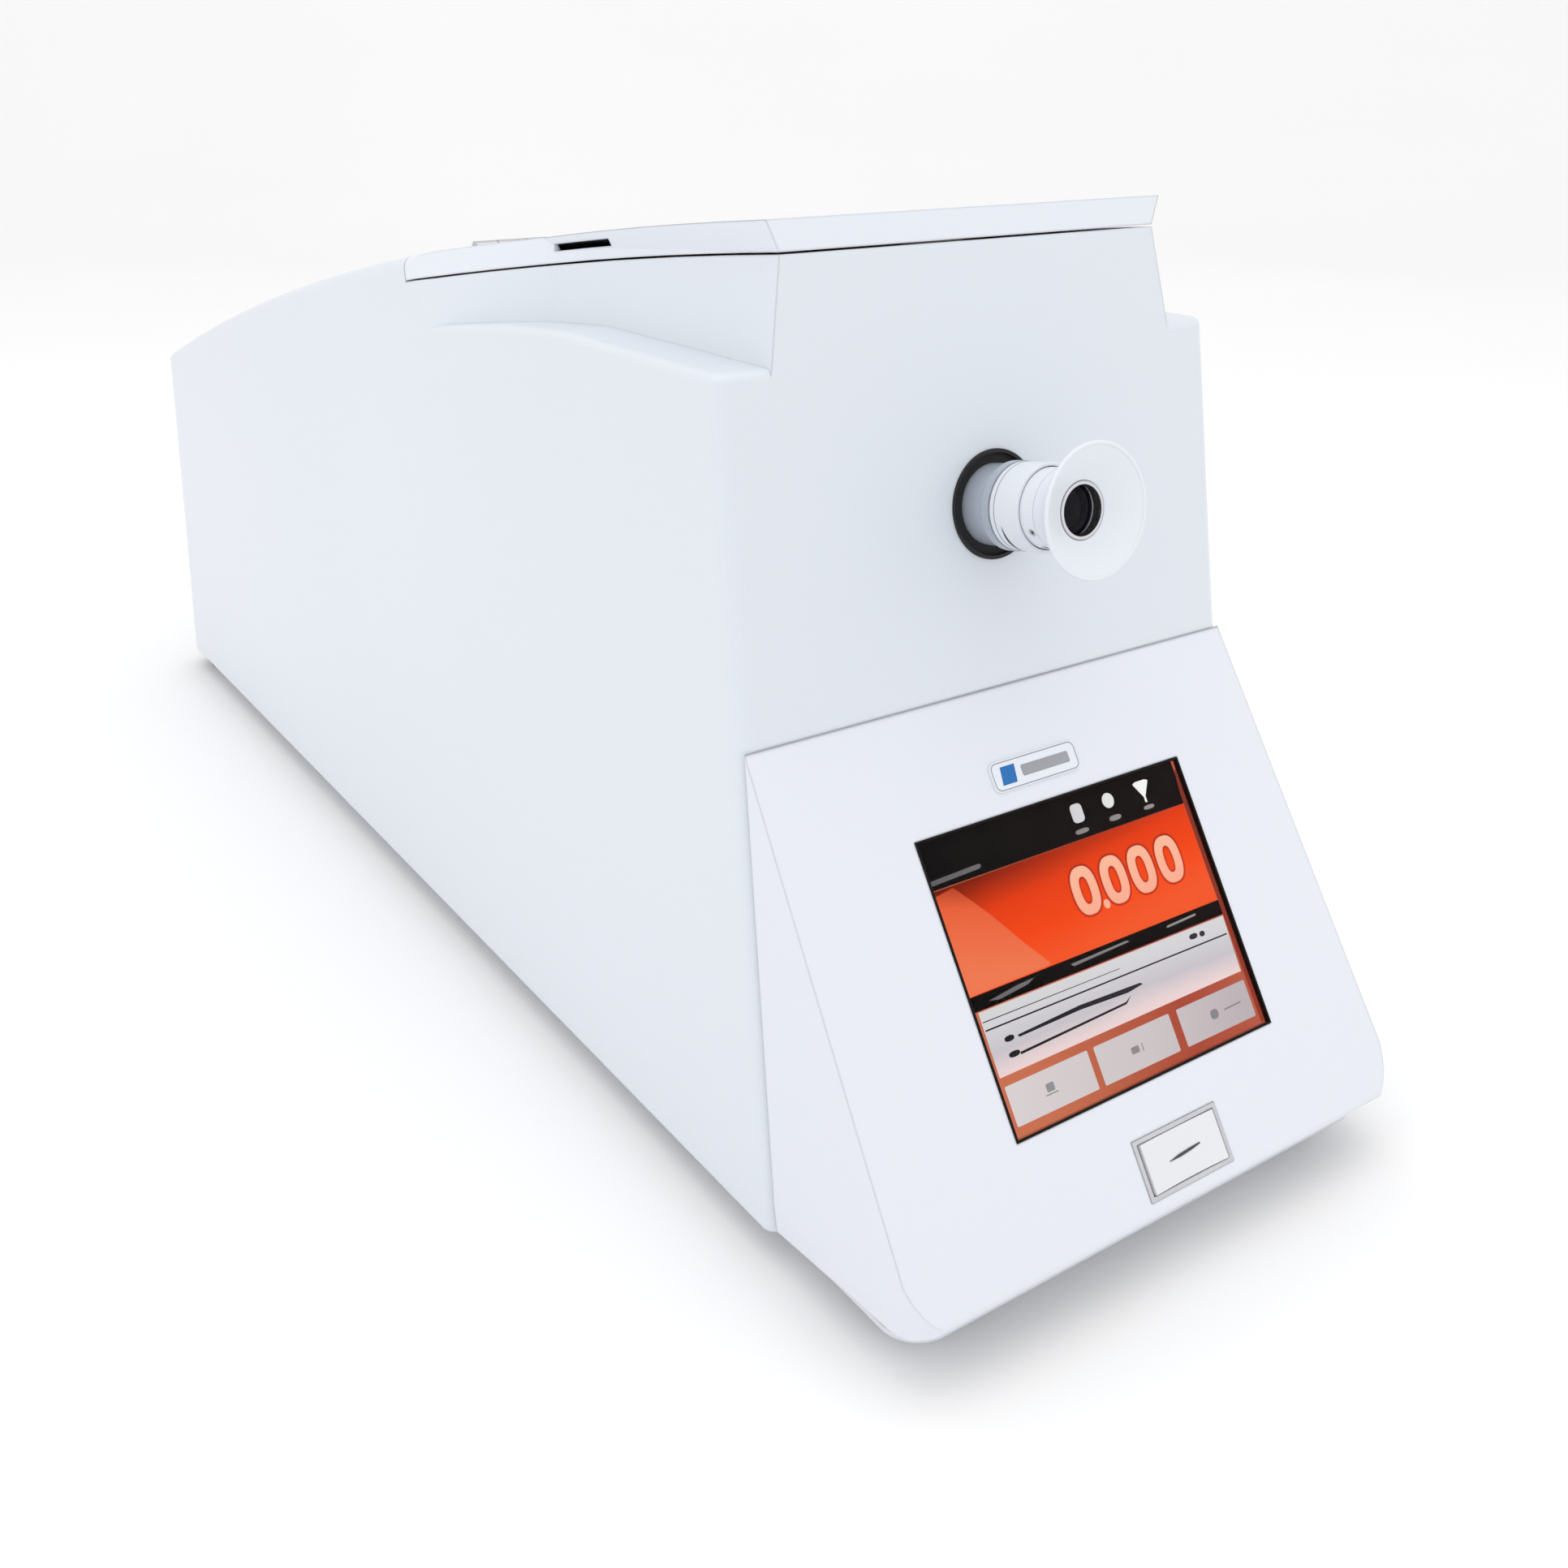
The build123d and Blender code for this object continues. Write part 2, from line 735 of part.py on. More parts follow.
with BuildPart() as front_console:
    with BuildSketch(Plane.YZ) as console_profile:
        Polygon(
            (crease_y - seam, crease_z - seam * console_drop / console_run),
            (toe_y, console_toe_z),
            (toe_y + toe_chin, console_toe_z - toe_chin / 2),
            (face_y(console_heel_z) - seam, console_heel_z),
        )
        fillet(console_profile.vertices().sort_by(Axis.X)[:2], toe_radius)
    extrude(amount=width_at_crease, both=True)
    add(console_outer_block, mode=Mode.INTERSECT)
    add(console_hollow.part, mode=Mode.SUBTRACT)
    with BuildSketch(console_plane.offset(-2 * wall)):
        with Locations(display_place):
            Rectangle(display_width, display_height)
        with Locations(jog_place):
            Rectangle(jog_width, jog_height)
    extrude(amount=4 * wall, mode=Mode.SUBTRACT)
save(front_console, "front_console")

# ---- Display: bezel, touch glass, panel and its board ----
bezel_proud = 0.3
glass_sink = 0.3
window_width = display_width - 2 * bezel_rim
window_height = display_height - 2 * bezel_rim

with BuildPart() as display_bezel:
    with BuildSketch(console_plane.offset(-bezel_depth)):
        with Locations(display_place):
            Rectangle(display_width - 2 * fit, display_height - 2 * fit)
            Rectangle(window_width, window_height, mode=Mode.SUBTRACT)
    extrude(amount=bezel_depth + bezel_proud)
save(display_bezel, "display_bezel")

with BuildPart() as touch_glass:
    with BuildSketch(console_plane.offset(-glass_sink - glass_thickness)):
        with Locations(display_place):
            Rectangle(window_width - 2 * fit, window_height - 2 * fit)
    extrude(amount=glass_thickness)
save(touch_glass, "touch_glass")

lcd_top = -glass_sink - glass_thickness - fit
with BuildPart() as lcd_panel:
    with BuildSketch(console_plane.offset(lcd_top - lcd_thickness)):
        with Locations(display_place):
            Rectangle(window_width - 4 * fit, window_height - 4 * fit)
    extrude(amount=lcd_thickness)
save(lcd_panel, "lcd_panel")

display_board_width = display_width + 2 * display_board_margin
display_board_height = display_height + 2 * display_board_margin
display_posts = (display_board_width - display_board_margin, display_board_height - display_board_margin)

# ---- Badge: a plain raised plate ----
with BuildPart() as badge:
    with BuildSketch(console_plane):
        with Locations(badge_place):
            RectangleRounded(badge_width, badge_height, badge_height / 4)
    extrude(amount=badge_thickness)
    fillet(badge.faces().sort_by(Axis((0, 0, 0), console_plane.z_dir))[-1].edges(), badge_thickness / 2)
save(badge, "badge")

# ---- Jog rocker: a sprung plate on a pin that runs up the slope, over two switches ----
jog_inner_width = jog_width - 2 * jog_rim
jog_inner_height = jog_height - 2 * jog_rim
jog_centre = console_plane.from_local_coords((jog_x, -jog_down, 0))
jog_pivot = console_plane.from_local_coords((jog_x, -jog_down, -jog_pin_drop))
console_up = (0, slope_sin, slope_cos)


def jog_section(up):
    """(across, out of the slope) through the jog rocker, at a distance up the slope from its middle."""
    return Plane(
        origin=console_plane.from_local_coords((jog_x, -jog_down + up, 0)),
        x_dir=across,
        z_dir=(0, -slope_sin, -slope_cos),
    )


with BuildPart() as jog_bezel:
    with BuildSketch(console_plane.offset(-jog_depth)):
        with Locations(jog_place):
            Rectangle(jog_width - 2 * fit, jog_height - 2 * fit)
            Rectangle(jog_inner_width, jog_inner_height, mode=Mode.SUBTRACT)
    extrude(amount=jog_depth + bezel_proud)
    with BuildSketch(jog_section(jog_height / 2)):
        with Locations((0, -jog_pin_drop)):
            Circle(jog_pin_radius)
    extrude(amount=jog_height, mode=Mode.SUBTRACT)
save(jog_bezel, "jog_bezel")

jog_half = jog_inner_width / 2 - 0.8
jog_lift = 0.9
jog_plate = 2.2
jog_hub = 2.4
with BuildPart() as jog_rocker:
    with BuildSketch(jog_section(jog_inner_height / 2 - slip)):
        with BuildLine():
            dish = ThreePointArc((-jog_half, jog_lift), (0, 0), (jog_half, jog_lift))
            Polyline(dish @ 1, (jog_half, -jog_plate), (-jog_half, -jog_plate), dish @ 0)
        make_face()
        Polygon(
            (-jog_hub, -jog_pin_drop), (jog_hub, -jog_pin_drop), (jog_hub, -jog_plate / 2), (-jog_hub, -jog_plate / 2)
        )
        with Locations((0, -jog_pin_drop)):
            Circle(jog_hub)
            Circle(jog_pin_radius + running, mode=Mode.SUBTRACT)
    extrude(amount=jog_inner_height - 2 * slip)
save(jog_rocker, "jog_rocker")

# ---- Console boards: the display's, with a connector notch, and the jog switches' ----
jog_switch_x = 11.5
jog_switch_size = 6.0
jog_switch_height = 3.4
plunger_height = 0.5
with BuildPart() as console_boards:
    with BuildSketch(console_plane.offset(-display_board_drop - board_thickness)):
        with Locations(display_place):
            RectangleRounded(display_board_width, display_board_height, 2.0)
            Rectangle(display_width * 0.3, display_height * 0.12, mode=Mode.SUBTRACT)
    extrude(amount=board_thickness)
    with BuildSketch(console_plane.offset(-jog_depth - board_thickness)):
        with Locations(jog_place):
            Rectangle(jog_width - 2 * fit, jog_height - 2 * fit)
    extrude(amount=board_thickness)
    with BuildSketch(console_plane.offset(-jog_depth)):
        with Locations(jog_place):
            with GridLocations(2 * jog_switch_x, 0, 2, 1):
                Rectangle(jog_switch_size, jog_switch_size)
    extrude(amount=jog_switch_height)
    with BuildSketch(console_plane.offset(-jog_depth + jog_switch_height)):
        with Locations(jog_place):
            with GridLocations(2 * jog_switch_x, 0, 2, 1):
                Circle(jog_switch_size / 4)
    extrude(amount=plunger_height)
save(console_boards, "console_boards")

# ---- Eyepiece port and barrel ----
ring_bore = port_radius - port_ring_wall
with BuildPart() as port_ring:
    add(
        turned(
            (-port_lip, ring_bore),
            (-port_lip, port_lip_radius),
            (0, port_lip_radius),
            (0, port_radius),
            (wall + seam, port_radius),
            (wall + seam, ring_bore),
        )
    )
    fillet(port_ring.edges().sort_by(Axis((0, 0, 0), axis_front))[-1], port_lip / 3)
save(port_ring, "port_ring")

with BuildPart() as light_seal:
    add(turned((seam, barrel_radius), (seam, ring_bore), (wall, ring_bore), (wall, barrel_radius)))
save(light_seal, "light_seal")

with BuildPart() as eyepiece_barrel:
    add(
        turned(
            (barrel_tail, barrel_bore),
            (barrel_tail, barrel_radius),
            (barrel_front + barrel_flange, barrel_radius),
            (barrel_front + barrel_flange, barrel_flange_radius),
            (barrel_front, barrel_flange_radius),
            (barrel_front, spigot_radius),
            (spigot_front, spigot_radius),
            (spigot_front, barrel_bore),
        )
    )
save(eyepiece_barrel, "eyepiece_barrel")

ring_back = barrel_front - slip
ring_seat = ring_back - focus_ring_web
cell_running = cell_radius + slip
with BuildPart() as focus_ring:
    add(
        turned(
            (ring_back, spigot_radius + running),
            (ring_back, focus_ring_radius),
            (focus_ring_front, focus_ring_radius),
            (focus_ring_front, cell_running),
            (ring_seat, cell_running),
            (ring_seat, spigot_radius + running),
        )
    )
    chamfer(focus_ring.edges().filter_by(GeomType.CIRCLE).group_by(SortBy.RADIUS)[-1], slip)
save(focus_ring, "focus_ring")

cell_web = cell_back - 5.5
lens_seat = neck_front - 0.5
set_screw_radius = 1.25
set_screw_length = 2.8
set_screw_depth = (cell_web + neck_front) / 2
set_screw_angles = (207.0, 242.0)


def radial_plane(depth, angle):
    """A plane facing away from the optical axis, on the axis, at an angle from +X."""
    outwards = (
        cos(radians(angle)),
        sin(radians(angle)) * face_up[1],
        sin(radians(angle)) * face_up[2],
    )
    origin = turning_plane.from_local_coords((depth, 0, 0))
    return Plane(origin=origin, x_dir=axis_rear, z_dir=outwards)


with BuildPart() as eyepiece_cell:
    add(
        turned(
            (cell_back, spigot_radius + slip),
            (cell_back, cell_radius),
            (neck_front, cell_radius),
            (neck_front, cell_tube_radius),
            (cell_front, cell_tube_radius),
            (cell_front, eye_lens_radius + fit),
            (lens_seat, eye_lens_radius + fit),
            (lens_seat, eye_aperture),
            (cell_web, eye_aperture),
            (cell_web, spigot_radius + slip),
        )
    )
    for angle in set_screw_angles:
        with BuildSketch(radial_plane(set_screw_depth, angle).offset(cell_radius - set_screw_length)):
            Circle(set_screw_radius)
        extrude(amount=set_screw_length * 2, mode=Mode.SUBTRACT)
save(eyepiece_cell, "eyepiece_cell")

with BuildPart() as set_screws:
    for angle in set_screw_angles:
        with BuildSketch(radial_plane(set_screw_depth, angle).offset(cell_radius - set_screw_length)):
            Circle(set_screw_radius)
        extrude(amount=set_screw_length - fit)
        with BuildSketch(radial_plane(set_screw_depth, angle).offset(cell_radius - fit)):
            RegularPolygon(set_screw_radius * 0.55, 6)
        extrude(amount=-1.0, mode=Mode.SUBTRACT)
save(set_screws, "set_screws")

cup_back = neck_front - fit
cup_seat = cell_front - fit
with BuildPart() as eyecup:
    with BuildSketch(turning_plane):
        with BuildLine():
            flare = ThreePointArc((cup_back, cell_radius), (-37.0, 13.8), (cup_rim + 0.9, cup_rim_radius))
            rim = ThreePointArc(flare @ 1, (cup_rim, cup_rim_radius - 0.35), (cup_rim + 0.4, cup_rim_radius - 1.2))
            Polyline(
                rim @ 1,
                (cup_seat - 0.7, cup_mouth_radius),
                (cup_seat, cup_mouth_radius),
                (cup_seat, cell_tube_radius + fit),
                (cup_back, cell_tube_radius + fit),
                flare @ 0,
            )
        make_face()
    revolve(axis=optical_axis)
save(eyecup, "eyecup")


def lens(depth, radius, edge, bulge_front, bulge_back):
    """A round lens whose edge starts at a depth, with two spherical faces that bulge out."""
    halfway = [
        (radius ** 2 + bulge ** 2) / (2 * bulge)
        - (((radius ** 2 + bulge ** 2) / (2 * bulge)) ** 2 - (radius / 2) ** 2) ** 0.5
        for bulge in (bulge_front, bulge_back)
    ]
    with BuildPart() as glass:
        with BuildSketch(turning_plane):
            with BuildLine():
                front = ThreePointArc(
                    (depth - bulge_front, 0), (depth - bulge_front + halfway[0], radius / 2), (depth, radius)
                )
                back = ThreePointArc(
                    (depth + edge, radius),
                    (depth + edge + bulge_back - halfway[1], radius / 2),
                    (depth + edge + bulge_back, 0),
                )
                Line(front @ 1, back @ 0)
                Line(back @ 1, front @ 0)
            make_face()
        revolve(axis=optical_axis)
    return glass.part


eye_lens_edge = 2.6
retainer_back = lens_seat - eye_lens_edge - 1.6
with BuildPart() as eye_lens:
    add(lens(lens_seat - eye_lens_edge - 0.6, eye_lens_radius, eye_lens_edge, 1.0, 0.5))
save(eye_lens, "eye_lens")

with BuildPart() as lens_retainer:
    add(
        turned(
            (retainer_back, eye_aperture + 0.5),
            (retainer_back, eye_lens_radius),
            (cup_seat - fit, eye_lens_radius),
            (cup_seat - fit, retainer_rim_radius),
            (cup_seat - 0.9, retainer_rim_radius),
            (cup_seat - 0.9, eye_aperture + 0.5),
        )
    )
save(lens_retainer, "lens_retainer")

field_lens_start = -6.0
field_lens_edge = 2.0
tail_lens_gap = 5.0
tail_lens_edge = 2.5
collimator_lens_gap = 3.0
collimator_lens_edge = 2.6
with BuildPart() as bench_lenses:
    add(lens(field_lens_start, barrel_bore - fit, field_lens_edge, 1.4, 0.2))
    add(lens(barrel_tail - tail_lens_gap, barrel_bore - fit, tail_lens_edge, 0.8, 1.2))
    add(lens(collimator_start + collimator_lens_gap, disc_radius, collimator_lens_edge, 1.2, 1.2))
save(bench_lenses, "bench_lenses")

# ---- Optical rail, its posts and the barrel's bracket ----
rail_top = -rail_drop
rail_low = rail_top - rail_thickness
with BuildPart() as optical_rail:
    add(box_on(bench_plane, 0, (rail_start + rail_end) / 2, rail_width, rail_end - rail_start, rail_low, rail_top))
    chamfer(optical_rail.edges().filter_by(Axis(port_centre, axis_rear)), 1.0)
save(optical_rail, "optical_rail")


def rail_posts_y(depth):
    """The Y of the post that meets the rail's underside at a depth."""
    return bench_plane.offset(rail_low).from_local_coords((0, depth, 0)).Y


with BuildPart() as rail_posts:
    for depth in post_depths:
        with BuildSketch(Plane.XY.offset(base_top_z)):
            with Locations((0, rail_posts_y(depth))):
                Rectangle(post_width, post_length)
        extrude(amount=port_z)
    split(bisect_by=bench_plane.offset(rail_low), keep=Keep.BOTTOM)
save(rail_posts, "rail_posts")


def bracket(start, length, half, top, bore):
    """A block on the rail with a hole on the optical axis."""
    with BuildPart() as block:
        add(box_on(bench_plane, 0, start + length / 2, 2 * half, length, rail_top, top))
        fillet(block.edges().filter_by(Axis(port_centre, axis_rear)).group_by(Axis.Z)[-1], half / 3)
        with BuildSketch(lens_plane(start)):
            Circle(bore)
        extrude(amount=-length, mode=Mode.SUBTRACT)
    return block.part


barrel_bracket_start = 18.0
barrel_bracket_length = 12.0
bracket_rim = 5.0
polariser_rim = 8.0
collimator_overhang = 6.0
collimator_bracket_starts = (
    collimator_start + collimator_overhang,
    collimator_end - collimator_overhang - collimator_bracket_length,
)
with BuildPart() as bench_brackets:
    add(
        bracket(
            barrel_bracket_start, barrel_bracket_length, bracket_width / 2, barrel_radius + bracket_rim, barrel_radius
        )
    )
    add(bracket(polariser_start, polariser_length, trough_half_width, disc_radius + polariser_rim, disc_radius))
    for start in collimator_bracket_starts:
        add(
            bracket(
                start,
                collimator_bracket_length,
                bracket_width / 2,
                collimator_radius + bracket_rim,
                collimator_radius,
            )
        )
save(bench_brackets, "bench_brackets")

# ---- Analyser: a turning sleeve with a toothed wheel and an encoder disc, in two bearings ----
wheel_radius = gear_module * analyser_teeth / 2
pinion_radius = gear_module * pinion_teeth / 2
pinion_x = wheel_radius + pinion_radius
tooth_clearance = 0.25 * gear_module
sleeve_front = analyser_front - 3.0
sleeve_rear = analyser_rear + plate_thickness + 3.0
sleeve_flange_start = analyser_front + plate_thickness + 1.0
sleeve_flange = 3.0
wheel_start = sleeve_flange_start + sleeve_flange + fit
encoder_start = wheel_start + gear_width + 4.4
shaft_hole_radius = motor_shaft_radius + 3.5

with BuildPart() as analyser_housing:
    add(
        box_on(
            bench_plane,
            (pinion_x + motor_size / 2 - analyser_half_width) / 2,
            analyser_front + plate_thickness / 2,
            pinion_x + motor_size / 2 + analyser_half_width,
            plate_thickness,
            rail_top,
            analyser_top,
        )
    )
    add(
        box_on(
            bench_plane,
            0,
            analyser_rear + plate_thickness / 2,
            2 * analyser_half_width,
            plate_thickness,
            rail_top,
            analyser_top,
        )
    )
    add(
        box_on(
            bench_plane,
            0,
            analyser_front + plate_thickness + plate_gap / 2,
            2 * analyser_half_width,
            plate_gap,
            rail_top,
            rail_top + 4.0,
        )
    )
    with BuildSketch(lens_plane(analyser_front)):
        Circle(bearing_radius)
        with Locations((pinion_x, 0)):
            Circle(shaft_hole_radius)
    extrude(amount=-(2 * plate_thickness + plate_gap), mode=Mode.SUBTRACT)
save(analyser_housing, "analyser_housing")

bearing_width = plate_thickness - 2.0
bearing_bore = sleeve_radius + running
with BuildPart() as analyser_bearings:
    for start in (analyser_front + 1.0, analyser_rear + 1.0):
        add(
            turned(
                (start, bearing_bore),
                (start, bearing_radius),
                (start + bearing_width, bearing_radius),
                (start + bearing_width, bearing_bore),
            )
        )
save(analyser_bearings, "analyser_bearings")

with BuildPart() as analyser_sleeve:
    add(
        turned(
            (sleeve_front, sleeve_bore),
            (sleeve_front, sleeve_radius),
            (sleeve_flange_start, sleeve_radius),
            (sleeve_flange_start, sleeve_radius + 3.0),
            (sleeve_flange_start + sleeve_flange, sleeve_radius + 3.0),
            (sleeve_flange_start + sleeve_flange, sleeve_radius),
            (sleeve_rear, sleeve_radius),
            (sleeve_rear, sleeve_bore),
        )
    )
save(analyser_sleeve, "analyser_sleeve")


def gear_outline(teeth, first_angle):
    """Points round an involute gear, with a tooth centred on first_angle."""
    pitch = gear_module * teeth / 2
    base = pitch * cos(radians(pressure_angle))
    tip = pitch + gear_module
    root = pitch - gear_module - tooth_clearance
    involute = tan(radians(pressure_angle)) - radians(pressure_angle)
    half_tooth = pi / (2 * teeth) - backlash / (2 * pitch) + involute
    flank = []
    for step in range(5):
        radius = max(base, root) + (tip - max(base, root)) * step / 4
        turn = (radius ** 2 / base ** 2 - 1) ** 0.5
        flank.append((radius, half_tooth - (turn - atan2(turn, 1))))
    flank.insert(0, (root, flank[0][1]))
    points = []
    for tooth in range(teeth):
        middle = radians(first_angle) + 2 * pi * tooth / teeth
        points += [(radius * cos(middle - angle), radius * sin(middle - angle)) for radius, angle in flank]
        points += [(radius * cos(middle + angle), radius * sin(middle + angle)) for radius, angle in reversed(flank)]
    return points


with BuildPart() as analyser_wheel:
    with BuildSketch(lens_plane(wheel_start)):
        Polygon(*gear_outline(analyser_teeth, 0.0))
        Circle(sleeve_radius, mode=Mode.SUBTRACT)
        with PolarLocations(wheel_radius * 0.66, 6, 30.0):
            Circle(wheel_radius * 0.14, mode=Mode.SUBTRACT)
    extrude(amount=-gear_width)
save(analyser_wheel, "analyser_wheel")

with BuildPart() as encoder_disc:
    with BuildSketch(lens_plane(encoder_start)):
        Circle(encoder_radius)
        Circle(sleeve_radius, mode=Mode.SUBTRACT)
    extrude(amount=-encoder_thickness)
save(encoder_disc, "encoder_disc")

with BuildPart() as analyser_film:
    add(turned((wheel_start, 0), (wheel_start, sleeve_bore), (wheel_start + 2.0, sleeve_bore), (wheel_start + 2.0, 0)))
save(analyser_film, "analyser_film")

reader_width = 14.0
reader_slot_width = 16.0
reader_slot_gap = 0.7        # each side of the encoder disc
reader_slot_margin = 1.0
reader_start = wheel_start + gear_width + 2.4
reader_low = encoder_radius - 5.0
with BuildPart() as encoder_reader:
    add(
        box_on(
            bench_plane,
            0,
            (reader_start + analyser_rear) / 2,
            reader_width,
            analyser_rear - reader_start,
            reader_low,
            analyser_top,
        )
    )
    add(
        box_on(
            bench_plane,
            0,
            encoder_start + encoder_thickness / 2,
            reader_slot_width,
            encoder_thickness + 2 * reader_slot_gap,
            reader_low - reader_slot_margin,
            encoder_radius + reader_slot_margin,
        ),
        mode=Mode.SUBTRACT,
    )
save(encoder_reader, "encoder_reader")

motor_tail = analyser_front - motor_length
with BuildPart() as analyser_motor:
    with BuildSketch(lens_plane(motor_tail)):
        with Locations((pinion_x, 0)):
            RectangleRounded(motor_size, motor_size, 3.0)
    extrude(amount=-motor_length)
    with BuildSketch(lens_plane(analyser_front)):
        with Locations((pinion_x, 0)):
            Circle(motor_shaft_radius + running)
    extrude(amount=motor_length / 2, mode=Mode.SUBTRACT)
save(analyser_motor, "analyser_motor")

pinion_over = 0.8
with BuildPart() as motor_pinion:
    with BuildSketch(lens_plane(wheel_start - pinion_over)):
        with Locations((pinion_x, 0)):
            Polygon(*gear_outline(pinion_teeth, 180.0 / pinion_teeth))
    extrude(amount=-(gear_width + 2 * pinion_over))
    with BuildSketch(lens_plane(analyser_front - motor_length / 2 + 2.0)):
        with Locations((pinion_x, 0)):
            Circle(motor_shaft_radius)
    extrude(amount=-(wheel_start + gear_width + 3.0 - analyser_front + motor_length / 2 - 2.0))
save(motor_pinion, "motor_pinion")

# ---- Sample chamber, its trough, and a tube that lifts out of it ----
chamber_reach = far / 4
under_deck = roof_slab(
    -lid_lip - seam - wall - slip, far / 2, width_at_crease, width_at_crease, slab_front_y, lid_rear_y + 2 * wall
)
with BuildPart() as sample_chamber:
    add(
        box_on(
            bench_plane,
            0,
            chamber_middle,
            2 * chamber_half_width,
            chamber_length,
            rail_top,
            chamber_reach,
        )
    )
    add(
        box_on(
            bench_plane,
            0,
            chamber_middle,
            2 * (chamber_half_width - chamber_wall),
            chamber_length - 2 * chamber_wall,
            rail_top + chamber_wall,
            chamber_reach + wall,
        ),
        mode=Mode.SUBTRACT,
    )
    with BuildSketch(lens_plane(chamber_start)):
        Circle(window_radius)
    extrude(amount=-chamber_length, mode=Mode.SUBTRACT)
    add(under_deck, mode=Mode.SUBTRACT)
save(sample_chamber, "sample_chamber")

rest_distance = cap_radius + fit
groove_bottom = rest_distance * 2 ** 0.5
groove_half = groove_bottom + trough_top
trough_length = chamber_length - 2 * chamber_wall - 4.0
with BuildPart() as sample_trough:
    with BuildSketch(lens_plane(chamber_middle - trough_length / 2)):
        Polygon(
            (-trough_half_width, rail_top + chamber_wall),
            (trough_half_width, rail_top + chamber_wall),
            (trough_half_width, trough_top),
            (groove_half, trough_top),
            (0, -groove_bottom),
            (-groove_half, trough_top),
            (-trough_half_width, trough_top),
        )
    extrude(amount=-trough_length)
save(sample_trough, "sample_trough")

tube_start = chamber_middle - tube_length / 2
tube_end = chamber_middle + tube_length / 2
trap_start = tube_start + cap_length + 4.0
trap_end = trap_start + 12.0
with BuildPart() as sample_tube:
    add(
        turned(
            (tube_start, tube_bore),
            (tube_start, tube_radius),
            (trap_start, tube_radius),
            (trap_start + 2.0, trap_radius),
            (trap_end - 2.0, trap_radius),
            (trap_end, tube_radius),
            (tube_end, tube_radius),
            (tube_end, tube_bore),
            (trap_end + 1.5, tube_bore),
            (trap_end - 2.5, trap_radius - 2.0),
            (trap_start + 2.5, trap_radius - 2.0),
            (trap_start - 1.5, tube_bore),
        )
    )
    for start in (tube_start - cap_rim, tube_end + fit):
        add(turned((start, 0), (start, tube_radius), (start + cap_rim - fit, tube_radius), (start + cap_rim - fit, 0)))
save(sample_tube, "sample_tube")

with BuildPart() as tube_caps:
    for end, way in ((tube_start, 1), (tube_end, -1)):
        outside = end - way * 2 * cap_rim
        add(
            turned(
                (outside, cap_aperture),
                (outside, cap_radius),
                (outside + way * cap_length, cap_radius),
                (outside + way * cap_length, tube_radius),
                (end - way * cap_rim, tube_radius),
                (end - way * cap_rim, cap_aperture),
            )
        )
save(tube_caps, "tube_caps")

gasket_over = 1.0
gasket_band = roof_slab(
    -lid_lip - seam,
    -lid_lip - seam + gasket_height,
    chamber_half_width + 2 * gasket_width,
    chamber_half_width + 2 * gasket_width,
    top_front_y,
    lid_rear_y,
)
with BuildPart() as lid_gasket:
    with BuildSketch(bench_plane.offset(deck_cut_rise)):
        with Locations((0, chamber_middle)):
            RectangleRounded(
                deck_opening_width + 2 * gasket_width, deck_opening_length + 2 * gasket_width, gasket_width
            )
            Rectangle(deck_opening_width + gasket_over, deck_opening_length + gasket_over, mode=Mode.SUBTRACT)
    extrude(amount=far / 4)
    add(gasket_band, mode=Mode.INTERSECT)
save(lid_gasket, "lid_gasket")

# ---- Polariser, collimator and lamp, behind the chamber ----
def disc(start, thickness):
    """A round disc in the light path."""
    return turned((start, 0), (start, disc_radius), (start + thickness, disc_radius), (start + thickness, 0))


with BuildPart() as half_shade_plate:
    add(disc(polariser_start + 2.0, disc_thickness))
    split(bisect_by=Plane.YZ, keep=Keep.TOP)

with BuildPart() as polariser_plates:
    add(half_shade_plate.part)
    add(disc(polariser_start + polariser_length - 2.0 - disc_thickness, disc_thickness))
save(polariser_plates, "polariser_plates")

with BuildPart() as collimator_barrel:
    add(
        turned(
            (collimator_start, disc_radius),
            (collimator_start, collimator_radius),
            (collimator_end, collimator_radius),
            (collimator_end, disc_radius),
        )
    )
save(collimator_barrel, "collimator_barrel")

with BuildPart() as yellow_filter:
    add(disc(collimator_start + collimator_length * 0.55, disc_thickness))
save(yellow_filter, "yellow_filter")

lamp_middle = lamp_start + lamp_length / 2
with BuildPart() as lamp_housing:
    add(box_on(bench_plane, 0, lamp_middle, 2 * lamp_half_width, lamp_length, rail_top, lamp_top))
    add(
        box_on(
            bench_plane,
            0,
            lamp_middle + lamp_wall,
            2 * (lamp_half_width - lamp_wall),
            lamp_length,
            rail_top + lamp_wall,
            lamp_top - lamp_wall,
        ),
        mode=Mode.SUBTRACT,
    )
    with BuildSketch(lens_plane(lamp_start)):
        Circle(window_radius)
    extrude(amount=-lamp_wall * 1.5, mode=Mode.SUBTRACT)
save(lamp_housing, "lamp_housing")

with BuildPart() as heat_sink:
    add(
        box_on(
            bench_plane, 0, lamp_end + sink_base / 2, 2 * lamp_half_width, sink_base, rail_top, lamp_top
        )
    )
    fin_pitch = (2 * lamp_half_width - sink_fin) / (sink_fins - 1)
    for fin in range(sink_fins):
        add(
            box_on(
                bench_plane,
                -lamp_half_width + sink_fin / 2 + fin * fin_pitch,
                lamp_end + sink_depth / 2,
                sink_fin,
                sink_depth,
                rail_top,
                lamp_top,
            )
        )
save(heat_sink, "heat_sink")

